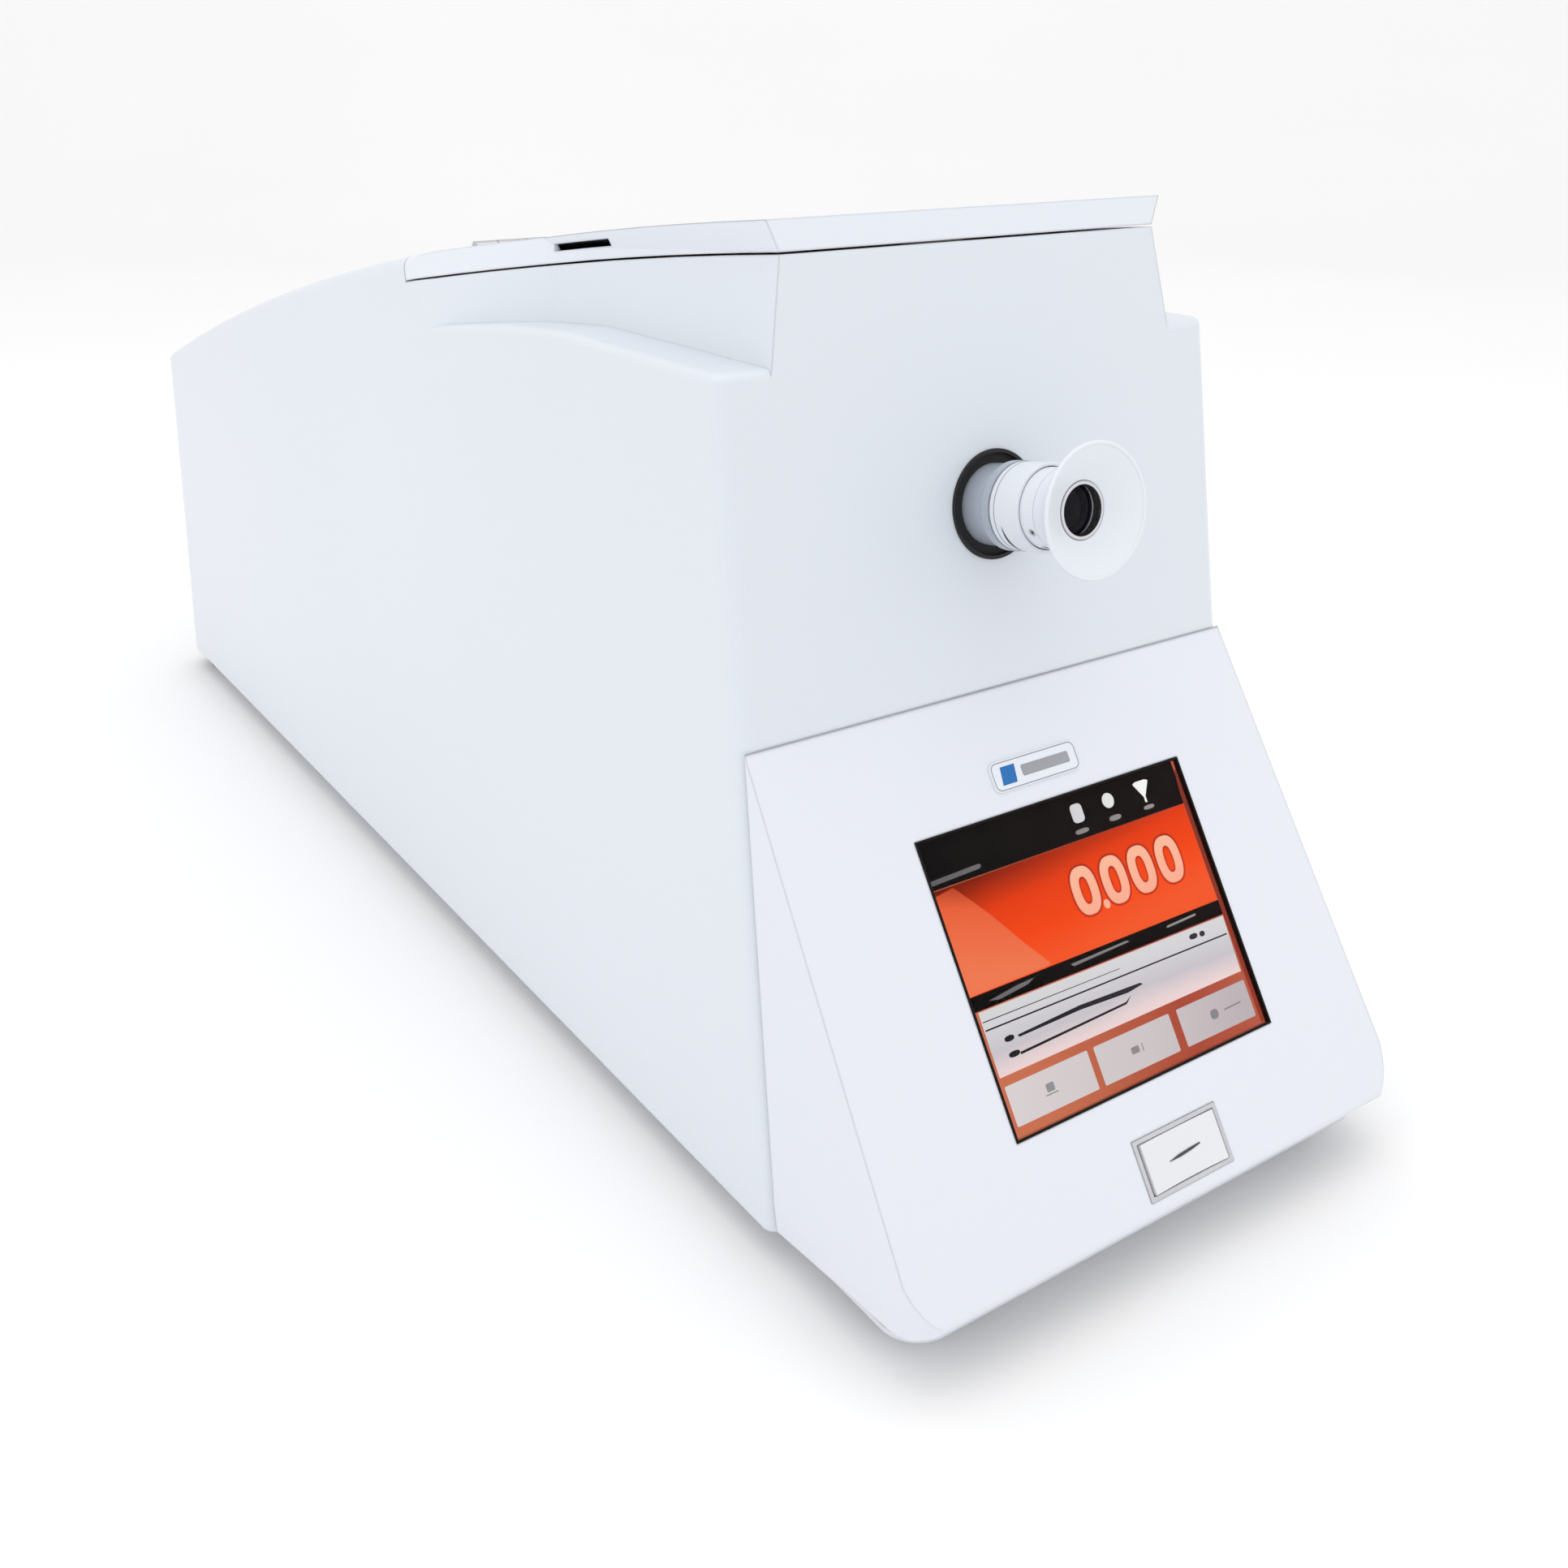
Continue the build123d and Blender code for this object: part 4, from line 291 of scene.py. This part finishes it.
printed_white = moulded("printed_white", (0.8, 0.8, 0.82), 0.4, 0.5, 1500, 0.03)

finishes = {
    paint: ("main_cover", "base_plate"),
    paint_lid_lit: ("lid",),
    shell: ("front_console",),
    white_soft: ("eyecup", "eyepiece_cell", "focus_ring"),
    barrel_shaded_white: ("eyepiece_barrel",),
    white_key: ("jog_rocker",),
    key_frame: ("jog_bezel",),
    plate: ("badge",),
    bezel_black: ("display_bezel",),
    touch: ("touch_glass",),
    black: ("port_ring", "encoder_reader", "analyser_motor", "power_inlet", "fuse_drawer",
            "switch_frame", "power_switch"),
    rubber: ("light_seal", "lid_gasket", "feet"),
    steel: ("cover_hinge_leaves", "lid_hinge_leaves", "hinge_pins", "set_screws", "analyser_bearings",
            "motor_pinion", "tube_caps", "case_screws", "rocker_pins", "lens_retainer"),
    satin: ("optical_rail", "rail_posts", "lamp_housing", "power_supply", "data_port"),
    anodised_black: ("bench_brackets", "analyser_housing", "sample_chamber", "sample_trough",
                     "collimator_barrel", "heat_sink"),
    brass: ("analyser_sleeve", "analyser_wheel", "board_standoffs"),
    gold: ("inlet_pins",),
    glass: ("bench_lenses", "sample_tube"),
    film: ("encoder_disc", "analyser_film", "polariser_plates"),
    yellow: ("yellow_filter",),
    lens_painted_shade: ("eye_lens",),
    pcb: ("console_boards", "main_board"),
    grey: ("rear_panel", "lamp_led"),
}
screen_base = lit("screen_frame", [(0.0, (0.50, 0.12, 0.07)), (0.45, (0.40, 0.065, 0.035)),
                                   (1.0, (0.58, 0.16, 0.08))], (-1, 0, 0), -112, 0, 1.0, 0.25)
finishes[screen_base] = ("lcd_panel",)
for material, names in finishes.items():
    for name in names:
        mesh = nodes[name].data
        if not mesh.materials:
            mesh.materials.append(material)
        for index in range(len(mesh.materials)):
            mesh.materials[index] = material


# ---------------------------------------------------------------- piece building
def piece(name, verts, faces, material, body, smooth=False):
    mesh = bpy.data.meshes.new(name)
    mesh.from_pydata([tuple(v) for v in verts], [], faces)
    mesh.update()
    mesh.materials.append(material)
    if smooth:
        mesh.polygons.foreach_set("use_smooth", [True] * len(mesh.polygons))
    obj = bpy.data.objects.new(name, mesh)
    bpy.context.scene.collection.objects.link(obj)
    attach(obj, body)
    return obj


class Build:
    """Collects slabs and rings in one mesh."""

    def __init__(self, origin, right, up, out):
        self.origin, self.right, self.up, self.out = origin, right, up, out
        self.verts, self.faces = [], []

    def at(self, x, y, h):
        return self.origin + (self.right * x + self.up * y + self.out * h) * MM

    def slab(self, outline, low, high, chamfer=0.0):
        """A flat plate with the outline's shape, its top edge chamfered."""
        count = len(outline)
        centre = (sum(p[0] for p in outline) / count, sum(p[1] for p in outline) / count)
        reach = max(math.hypot(x - centre[0], y - centre[1]) for x, y in outline)
        shrink = 1 - chamfer / reach
        inner = [(centre[0] + (x - centre[0]) * shrink, centre[1] + (y - centre[1]) * shrink)
                 for x, y in outline]
        start = len(self.verts)
        for points, height in ((outline, low), (outline, high - chamfer), (inner, high)):
            self.verts += [self.at(x, y, height) for x, y in points]
        self.faces.append([start + i for i in reversed(range(count))])
        self.faces.append([start + 2 * count + i for i in range(count)])
        for level in (0, 1):
            for i in range(count):
                a, b = start + level * count + i, start + level * count + (i + 1) % count
                self.faces.append([a, b, b + count, a + count])

    def ring(self, outer, inner, low, high):
        """A flat band between two outlines of the same number of points."""
        count = len(outer)
        start = len(self.verts)
        for points, height in ((outer, low), (outer, high), (inner, high), (inner, low)):
            self.verts += [self.at(x, y, height) for x, y in points]
        for level in range(4):
            for i in range(count):
                j = (i + 1) % count
                a = start + level * count
                b = start + (level + 1) % 4 * count
                self.faces.append([a + i, a + j, b + j, b + i])

    def done(self, name, material, body, slot):
        return piece(name, self.verts, self.faces, material, body)


def oblong(x, y, width, height, radius, steps=5):
    """The outline of a rectangle with round corners, anticlockwise."""
    points = []
    for cx, cy, first in ((1, 1, 0), (-1, 1, 90), (-1, -1, 180), (1, -1, 270)):
        for step in range(steps + 1):
            angle = math.radians(first + 90 * step / steps)
            points.append((x + cx * (width / 2 - radius) + radius * math.cos(angle),
                           y + cy * (height / 2 - radius) + radius * math.sin(angle)))
    return points


def oval(x, y, half_width, half_height, power=2.0, count=40):
    """A circle, an ellipse or a squarer oval."""
    points = []
    for i in range(count):
        c, s = math.cos(2 * math.pi * i / count), math.sin(2 * math.pi * i / count)
        points.append((x + half_width * math.copysign(abs(c) ** (2 / power), c),
                       y + half_height * math.copysign(abs(s) ** (2 / power), s)))
    return points


def screen():
    return Build(SCREEN_CORNER, ACROSS, -DOWN, OUT)


def lathe(name, profile, origin, axis, material, body, sides=96, ripple=None):
    """A turned piece from (along, radius) points in millimetres; ripple changes a radius with its angle."""
    axis = axis.normalized()
    first = axis.cross(Vector((1, 0, 0.01))).normalized()
    second = axis.cross(first)
    verts, faces = [], []
    for k in range(sides):
        angle = 2 * math.pi * k / sides
        for index, (depth, radius) in enumerate(profile):
            r = radius + (ripple(index, k) if ripple else 0.0)
            outwards = first * math.cos(angle) + second * math.sin(angle)
            verts.append(origin + (axis * depth + outwards * r) * MM)
    count = len(profile)
    for k in range(sides):
        for i in range(count):
            a, b = k * count + i, k * count + (i + 1) % count
            c, d = (k + 1) % sides * count + (i + 1) % count, (k + 1) % sides * count + i
            faces.append([a, b, c, d])
    return piece(name, verts, faces, material, body, smooth=False)


# ---------------------------------------------------------------- what the display shows
SKIN = LCD_TOP + 0.012
GROUND = (SKIN, SKIN + 0.02)
PANEL = (SKIN, SKIN + 0.015)
SHEEN = (SKIN + 0.018, SKIN + 0.024)
EDGE = (SKIN + 0.02, SKIN + 0.028)
INK = (SKIN + 0.02, SKIN + 0.03)
MARK = (SKIN + 0.024, SKIN + 0.034)
STRIP = (SKIN + 0.03, SKIN + 0.04)
DIGIT = (SKIN + 0.03, SKIN + 0.05)
DIGIT_PLACES = (57.4, 70.3, 82.6, 95.2)
DIGIT_ROW = -31.2
bar = screen()
bar.slab(oblong(55.6, -8.2, 109.6, 14.8, 0.2), *GROUND)
bar.slab([(1.2, -49.0), (1.2, -53.6), (110.6, -54.6), (110.6, -49.6)], *GROUND)
bar.done("screen_bars", lit("screen_black", [(0.0, (0.001, 0.001, 0.001)), (1.0, (0.003, 0.001, 0.001))],
                            (1, 0, 0), 0, 112), "housing", "screen")

orange = screen()
orange.slab([(1.2, -15.8), (1.2, -49.0), (109.6, -49.6), (109.6, -15.8)], *PANEL)
orange.done("screen_orange", lit(
    "screen_orange", [(0.0, (0.06, 0.004, 0.001)), (0.15, (0.26, 0.014, 0.002)), (0.4, (0.78, 0.045, 0.003)),
                      (0.7, (0.90, 0.06, 0.004)), (1.0, (0.90, 0.095, 0.02))],
    tuple((DOWN + ACROSS * 0.12).normalized()), 15, 56, 1.0, 0.08), "housing", "screen")

# The pale diagonal patch is a painted reflection on the display glass, drawn as a glowing slab.
sheen = screen()
arc = [(9.0, -16.4), (14.5, -22.5), (19.5, -28.5), (24.0, -34.5), (28.5, -40.5), (33.5, -46.5), (35.0, -48.7)]
sheen.slab([(1.3, -17.5)] + [(1.3, -48.8)] + list(reversed(arc)), *SHEEN)
sheen.done("screen_reflection", lit(
    "screen_painted_reflection", [(0.0, (0.35, 0.03, 0.01)), (0.3, (0.82, 0.12, 0.04)), (1.0, (0.88, 0.19, 0.08))],
    tuple((DOWN - ACROSS * 0.3).normalized()), 12, 40, 1.0, 0.05), "housing", "screen")

digits = screen()
for u in DIGIT_PLACES:
    digits.ring(oval(u, DIGIT_ROW, 5.3, 7.9, 2.5), oval(u, DIGIT_ROW, 1.9, 4.5, 2.5), *DIGIT)
digits.slab(oval(63.9, -37.6, 1.3, 1.5, 2.2, 20), *DIGIT)
digits.done("screen_digits", lit(
    "screen_digits", [(0.0, (0.97, 0.50, 0.34)), (0.5, (0.98, 0.46, 0.31)), (1.0, (0.95, 0.42, 0.29))],
    tuple(DOWN), 23, 40, 1.0, 0.1), "housing", "screen")
halo = screen()
for u in DIGIT_PLACES:
    halo.ring(oval(u, DIGIT_ROW, 6.0, 8.6, 2.5), oval(u, DIGIT_ROW, 1.4, 3.9, 2.5), *EDGE)
halo.done("screen_digit_edges", lit(
    "screen_deep_red", [(0.0, (0.42, 0.02, 0.004)), (1.0, (0.55, 0.03, 0.008))], tuple(DOWN), 23, 40),
    "housing", "screen")

rows = screen()
rows.slab([(3.0, -54.0), (2.8, -74.2), (108.8, -74.2), (109.4, -55.0)], *PANEL)
rows.done("screen_rows", lit(
    "screen_pale", [(0.0, (0.70, 0.69, 0.70)), (0.35, (0.66, 0.65, 0.68)), (0.7, (0.58, 0.55, 0.59)),
                    (1.0, (0.84, 0.66, 0.66))], tuple(DOWN), 53, 75, 1.0, 0.15), "housing", "screen")
buttons = screen()
for u, width in ((20.1, 33.6), (56.2, 33.2), (92.4, 32.2)):
    buttons.slab(oblong(u, -83.3, width, 12.4, 0.5), *GROUND, 0.01)
buttons.done("screen_buttons", lit(
    "screen_button", [(0.0, (0.70, 0.64, 0.65)), (0.6, (0.62, 0.56, 0.57)), (1.0, (0.50, 0.44, 0.46))],
    tuple((DOWN * 0.3 + ACROSS).normalized()), 24, 134, 1.0, 0.1), "housing", "screen")

marks = screen()
marks.slab([(3.4, -59.5), (3.4, -60.0), (108.4, -61.3), (108.4, -60.8)], *INK)
marks.slab([(3.4, -57.0), (3.4, -57.3), (60.0, -58.1), (60.0, -57.9)], *INK)
marks.slab([(14.0, -64.4), (40.0, -63.6), (66.0, -64.6), (67.0, -65.3), (60.0, -66.0), (40.0, -65.0),
            (14.5, -65.2)], *INK)
marks.slab([(13.0, -69.4), (58.0, -68.4), (61.0, -67.0), (58.0, -69.1), (13.0, -70.2)], *INK)
for x, y, w in ((10.8, -64.4, 1.9), (10.8, -69.2, 2.2), (94.0, -57.6, 1.9), (98.0, -57.9, 1.2)):
    marks.slab(oval(x, y, w, 0.9, 2.4, 20), *INK)
marks.done("screen_marks", lit("screen_ink", [(0.0, (0.01, 0.01, 0.012)), (1.0, (0.04, 0.035, 0.04))],
                               (1, 0, 0), 0, 112), "housing", "screen")
glyphs = screen()
glyphs.slab(oblong(19.3, -82.6, 3.2, 2.6, 0.5), *MARK)
glyphs.slab([(16.8, -84.4), (21.8, -84.4), (21.8, -84.8), (16.8, -84.8)], *MARK)
glyphs.slab(oblong(55.2, -83.2, 3.4, 2.2, 0.6), *MARK)
glyphs.slab([(58.2, -82.0), (58.6, -82.0), (58.6, -84.6), (58.2, -84.6)], *MARK)
glyphs.slab(oval(91.4, -83.4, 1.8, 1.6, 2.6, 24), *MARK)
glyphs.slab([(96.0, -83.2), (104.0, -83.0), (104.0, -83.5), (96.0, -83.7)], *MARK)
glyphs.done("screen_button_icons", lit(
    "screen_grey_ink", [(0.0, (0.30, 0.29, 0.31)), (1.0, (0.24, 0.23, 0.25))], (1, 0, 0), 0, 112),
    "housing", "screen")

icons = screen()
icons.slab(oblong(64.6, -7.3, 5.0, 6.2, 1.6), *MARK)
icons.slab(oval(78.6, -6.6, 2.5, 2.5), *MARK)
icons.slab([(90.8, -4.4), (93.6, -9.0), (94.8, -9.0), (97.8, -4.4), (96.4, -3.8), (91.9, -3.8)],
           *MARK)
icons.slab([(93.8, -9.0), (93.8, -11.2), (94.7, -11.2), (94.7, -9.0)], *MARK)
icons.done("screen_icons", lit("screen_white_ink", [(0.0, (0.60, 0.60, 0.62)), (1.0, (0.95, 0.95, 0.93))],
                               (1, 0, 0), 60, 100, 1.0, 0.1), "housing", "screen")
captions = screen()
captions.slab([(1.6, -12.6), (1.6, -14.1), (21.0, -13.6), (21.8, -12.7), (21.0, -12.1)], *MARK)
captions.slab(oval(64.2, -13.2, 2.9, 0.8, 2.6, 24), *MARK)
captions.slab(oval(79.2, -12.6, 2.6, 0.9, 2.6, 24), *MARK)
captions.slab(oval(94.6, -12.9, 2.4, 0.7, 2.6, 24), *MARK)
captions.slab([(42.0, -50.9), (66.5, -50.7), (67.5, -51.3), (43.0, -51.9)], *MARK)
captions.slab([(84.5, -51.2), (98.0, -50.9), (98.0, -51.6), (84.5, -51.9)], *MARK)
captions.slab([(8.0, -51.8), (20.0, -50.6), (27.0, -50.4), (24.0, -51.6), (12.0, -52.6)], *MARK)
captions.done("screen_captions", lit("screen_dim_ink", [(0.0, (0.10, 0.10, 0.11)), (1.0, (0.34, 0.32, 0.30))],
                                     (1, 0, 0), 0, 112, 1.0, 0.1), "housing", "screen")
side = screen()
side.slab([(109.7, -12.0), (109.7, -92.3), (111.4, -92.3), (111.4, -4.0), (110.6, -4.0)], *STRIP)
side.done("screen_side_strip", lit("screen_dark_red", [(0.0, (0.20, 0.03, 0.02)), (1.0, (0.30, 0.04, 0.02))],
                                   tuple(DOWN), 4, 92, 1.0, 0.3), "housing", "screen")

# ---------------------------------------------------------------- marks on the key, badge and switch
key = Build(JOG_CENTRE, ACROSS, -DOWN, OUT)
key.slab([(-6.6, -0.7), (-2.0, 0.0), (3.4, 0.35), (7.4, 0.5), (7.4, 0.0), (3.4, -0.55), (-2.0, -0.95),
          (-6.6, -0.85)], 0.12, 0.28)
key.done("key_dash", dark_print_and_shade, "jog_rocker", "grey_plastic")

badge_trim = Build(CREASE + DOWN * 29.0 * MM, ACROSS, -DOWN, OUT)
badge_trim.ring(oblong(0, 0, 35.0, 9.0, 2.2), oblong(0, 0, 34.4, 8.4, 1.9), 0.76, 0.84)
badge_trim.slab(oblong(4.2, 0, 20.0, 3.6, 0.6), 0.76, 0.86, 0.04)
badge_trim.done("badge_trim", printed_grey, "housing", "grey_plastic")
tile = Build(CREASE + DOWN * 29.0 * MM, ACROSS, -DOWN, OUT)
tile.slab([(-14.6, -2.9), (-8.8, -2.9), (-8.0, 2.9), (-13.8, 2.9)], 0.76, 0.88, 0.04)
tile.done("badge_tile", printed_blue, "housing", "grey_plastic")

SWITCH = REAR_ORIGIN + REAR_UP * 45.0 * MM - ACROSS * 22.0 * MM
signs = Build(SWITCH, -ACROSS, REAR_UP, REAR_OUT)
signs.slab([(-0.35, 3.2), (0.35, 3.2), (0.35, 6.6), (-0.35, 6.6)], 0.32, 0.66)
signs.ring(oval(0, -4.9, 1.7, 1.7, 2, 32), oval(0, -4.9, 1.2, 1.2, 2, 32), 0.32, 0.66)
signs.done("switch_signs", printed_white, "power_switch", "white_plastic")


# ---------------------------------------------------------------- turned details of the eyepiece and the tube
def grip(index, k):
    return 0.16 if index in (1, 2) and k % 2 else 0.0


lathe("focus_index", [(-14.9, 13.1), (-14.75, 13.32), (-14.5, 13.32), (-14.35, 13.1)], PORT, AXIS_REAR,
      printed_grey, "focus_ring")
# A thin dark crescent on the lower left of the focus ring is painted shade, drawn in the dark print colour.
MARK_START, MARK_STEP, MARK_STEPS = 196, 5, 12
MARK_DEPTH, MARK_HALF = -17.0, 0.55
shade_outline = []
for side_way in (-1, 1):
    for step in range(MARK_STEPS + 1)[::-side_way]:
        bulge = MARK_HALF * math.sin(math.pi * step / MARK_STEPS)
        shade_outline.append((math.radians(MARK_START + MARK_STEP * step), MARK_DEPTH + side_way * bulge))
verts = []
for radius in (13.2, 13.29):
    for angle, depth in shade_outline:
        outwards = ACROSS * math.cos(angle) + FACE_UP * math.sin(angle)
        verts.append(PORT + (AXIS_REAR * depth + outwards * radius) * MM)
half = len(shade_outline)
faces = [[i, (i + 1) % half, half + (i + 1) % half, half + i] for i in range(half)]
for start, way in ((0, -1), (half, 1)):
    for i in range(MARK_STEPS):
        faces.append([start + j for j in (i, i + 1, half - 2 - i, half - 1 - i)][::way])
piece("focus_ring_painted_shade", verts, faces, dark_print_and_shade, "focus_ring")
lathe("lens_bezel", [(-38.0, 7.35), (-38.12, 7.5), (-38.12, 8.1), (-38.0, 8.4)], PORT, AXIS_REAR, satin,
      "eyepiece")
TUBE_START, TUBE_END = 95.5, 195.5
GRIP_OUTER, GRIP_INNER = 5.4, 3.6
grips = ((TUBE_START - GRIP_OUTER, TUBE_START + GRIP_INNER), (TUBE_END - GRIP_INNER, TUBE_END + GRIP_OUTER))
for number, (low, high) in enumerate(grips):
    lathe(f"cap_grip_{number}", [(low, 12.9), (low + 0.5, 13.02), (high - 0.5, 13.02), (high, 12.9)],
          PORT, AXIS_REAR, steel, "sample_tube", 120, grip)
WET_START, WET_END = TUBE_START + 0.3, TUBE_END - 0.3
lathe("sample_liquid", [(WET_START, 0.05), (WET_START, 5.9), (WET_END, 5.9), (WET_END, 0.05)],
      PORT, AXIS_REAR, liquid, "sample_tube", 48)


# ---------------------------------------------------------------- screw recesses on the rear
def cross(build, x, y, low, high, size=1.7, half=0.35):
    for wide, tall, top in ((size, half, high), (half, size, high + 0.004)):
        build.slab([(x - wide, y - tall), (x + wide, y - tall), (x + wide, y + tall), (x - wide, y + tall)],
                   low, top)


# Dark crosses on the rear: painted shade standing for the screw recesses, in the dark print colour.
rear = Build(REAR_ORIGIN + REAR_UP * 45.0 * MM, -ACROSS, REAR_UP, REAR_OUT)
for x in (-69.0, 69.0):
    for y in (-20.0, 20.0):
        cross(rear, x, y, 1.4, 1.56)
rear.done("rear_screw_recess_shade", dark_print_and_shade, "housing", "black_plastic")

# ---------------------------------------------------------------- floor, light and camera
floor_graph = Graph("pale_floor")
floor_graph.link(floor_graph.ramp(floor_graph.noise(1.2, 2.0),
                                  [(0.3, (0.94, 0.94, 0.945)), (0.7, (0.96, 0.96, 0.965))]),
                 floor_graph.shader.inputs["Base Color"])
floor_graph.set(Roughness=0.75, Specular_IOR_Level=0.2)
CURVE_START, CURVE_RADIUS = 2.4, 1.6
sweep = [(-6.0, 0.0), (CURVE_START, 0.0)]
for angle in range(10, 91, 10):
    sweep.append((CURVE_START + CURVE_RADIUS * math.sin(math.radians(angle)),
                  CURVE_RADIUS - CURVE_RADIUS * math.cos(math.radians(angle))))
sweep.append((4.0, 6.0))
turn = Matrix.Rotation(math.radians(-34.3), 3, "Z")
floor_verts = [turn @ Vector((x, y, z)) for x in (-9.0, 9.0) for y, z in sweep]
count = len(sweep)
floor_mesh = bpy.data.meshes.new("floor")
floor_mesh.from_pydata([tuple(v) for v in floor_verts], [],
                       [[i, i + count, i + 1 + count, i + 1] for i in range(count - 1)])
floor_mesh.polygons.foreach_set("use_smooth", [True] * len(floor_mesh.polygons))
floor_mesh.materials.append(floor_graph.material)
floor = bpy.data.objects.new("floor", floor_mesh)
bpy.context.scene.collection.objects.link(floor)


def lamp(name, place, target, size, power, color=(1, 1, 1)):
    light = bpy.data.lights.new(name, "AREA")
    light.shape = "RECTANGLE"
    light.size, light.size_y = size
    light.energy = power
    light.color = color
    obj = bpy.data.objects.new(name, light)
    obj.location = place
    obj.rotation_euler = (Vector(target) - Vector(place)).to_track_quat("-Z", "Y").to_euler()
    bpy.context.scene.collection.objects.link(obj)


lamp("overhead", (-0.2, -0.3, 2.2), (0, -0.1, 0.1), (2.4, 2.4), 11.0, (1.0, 1.0, 1.0))
lamp("left_wall", (-2.4, 0.1, 1.0), (0, 0.0, 0.15), (2.2, 1.6), 3.0, (1.0, 1.0, 1.0))
lamp("right_front", (1.6, -2.2, 1.3), (0, -0.2, 0.15), (1.4, 1.2), 1.5, (1.0, 1.0, 1.0))

world = bpy.data.worlds.new("studio")
world.use_nodes = True
world.node_tree.nodes["Background"].inputs["Color"].default_value = (1.0, 1.0, 1.0, 1)
world.node_tree.nodes["Background"].inputs["Strength"].default_value = 0.97
bpy.context.scene.world = world
bpy.context.scene.view_settings.view_transform = "Standard"
bpy.context.scene.view_settings.look = "None"

camera_data = bpy.data.cameras.new("camera")
camera_data.lens = 35.25
camera_data.sensor_width = 36.0
camera_data.clip_start = 0.01
camera = bpy.data.objects.new("camera", camera_data)
camera.location = (-0.3146, -0.6059, 0.3434)
camera.rotation_euler = Vector((0.5101, 0.7480, -0.4245)).to_track_quat("-Z", "Y").to_euler()
bpy.context.scene.collection.objects.link(camera)
bpy.context.scene.camera = camera
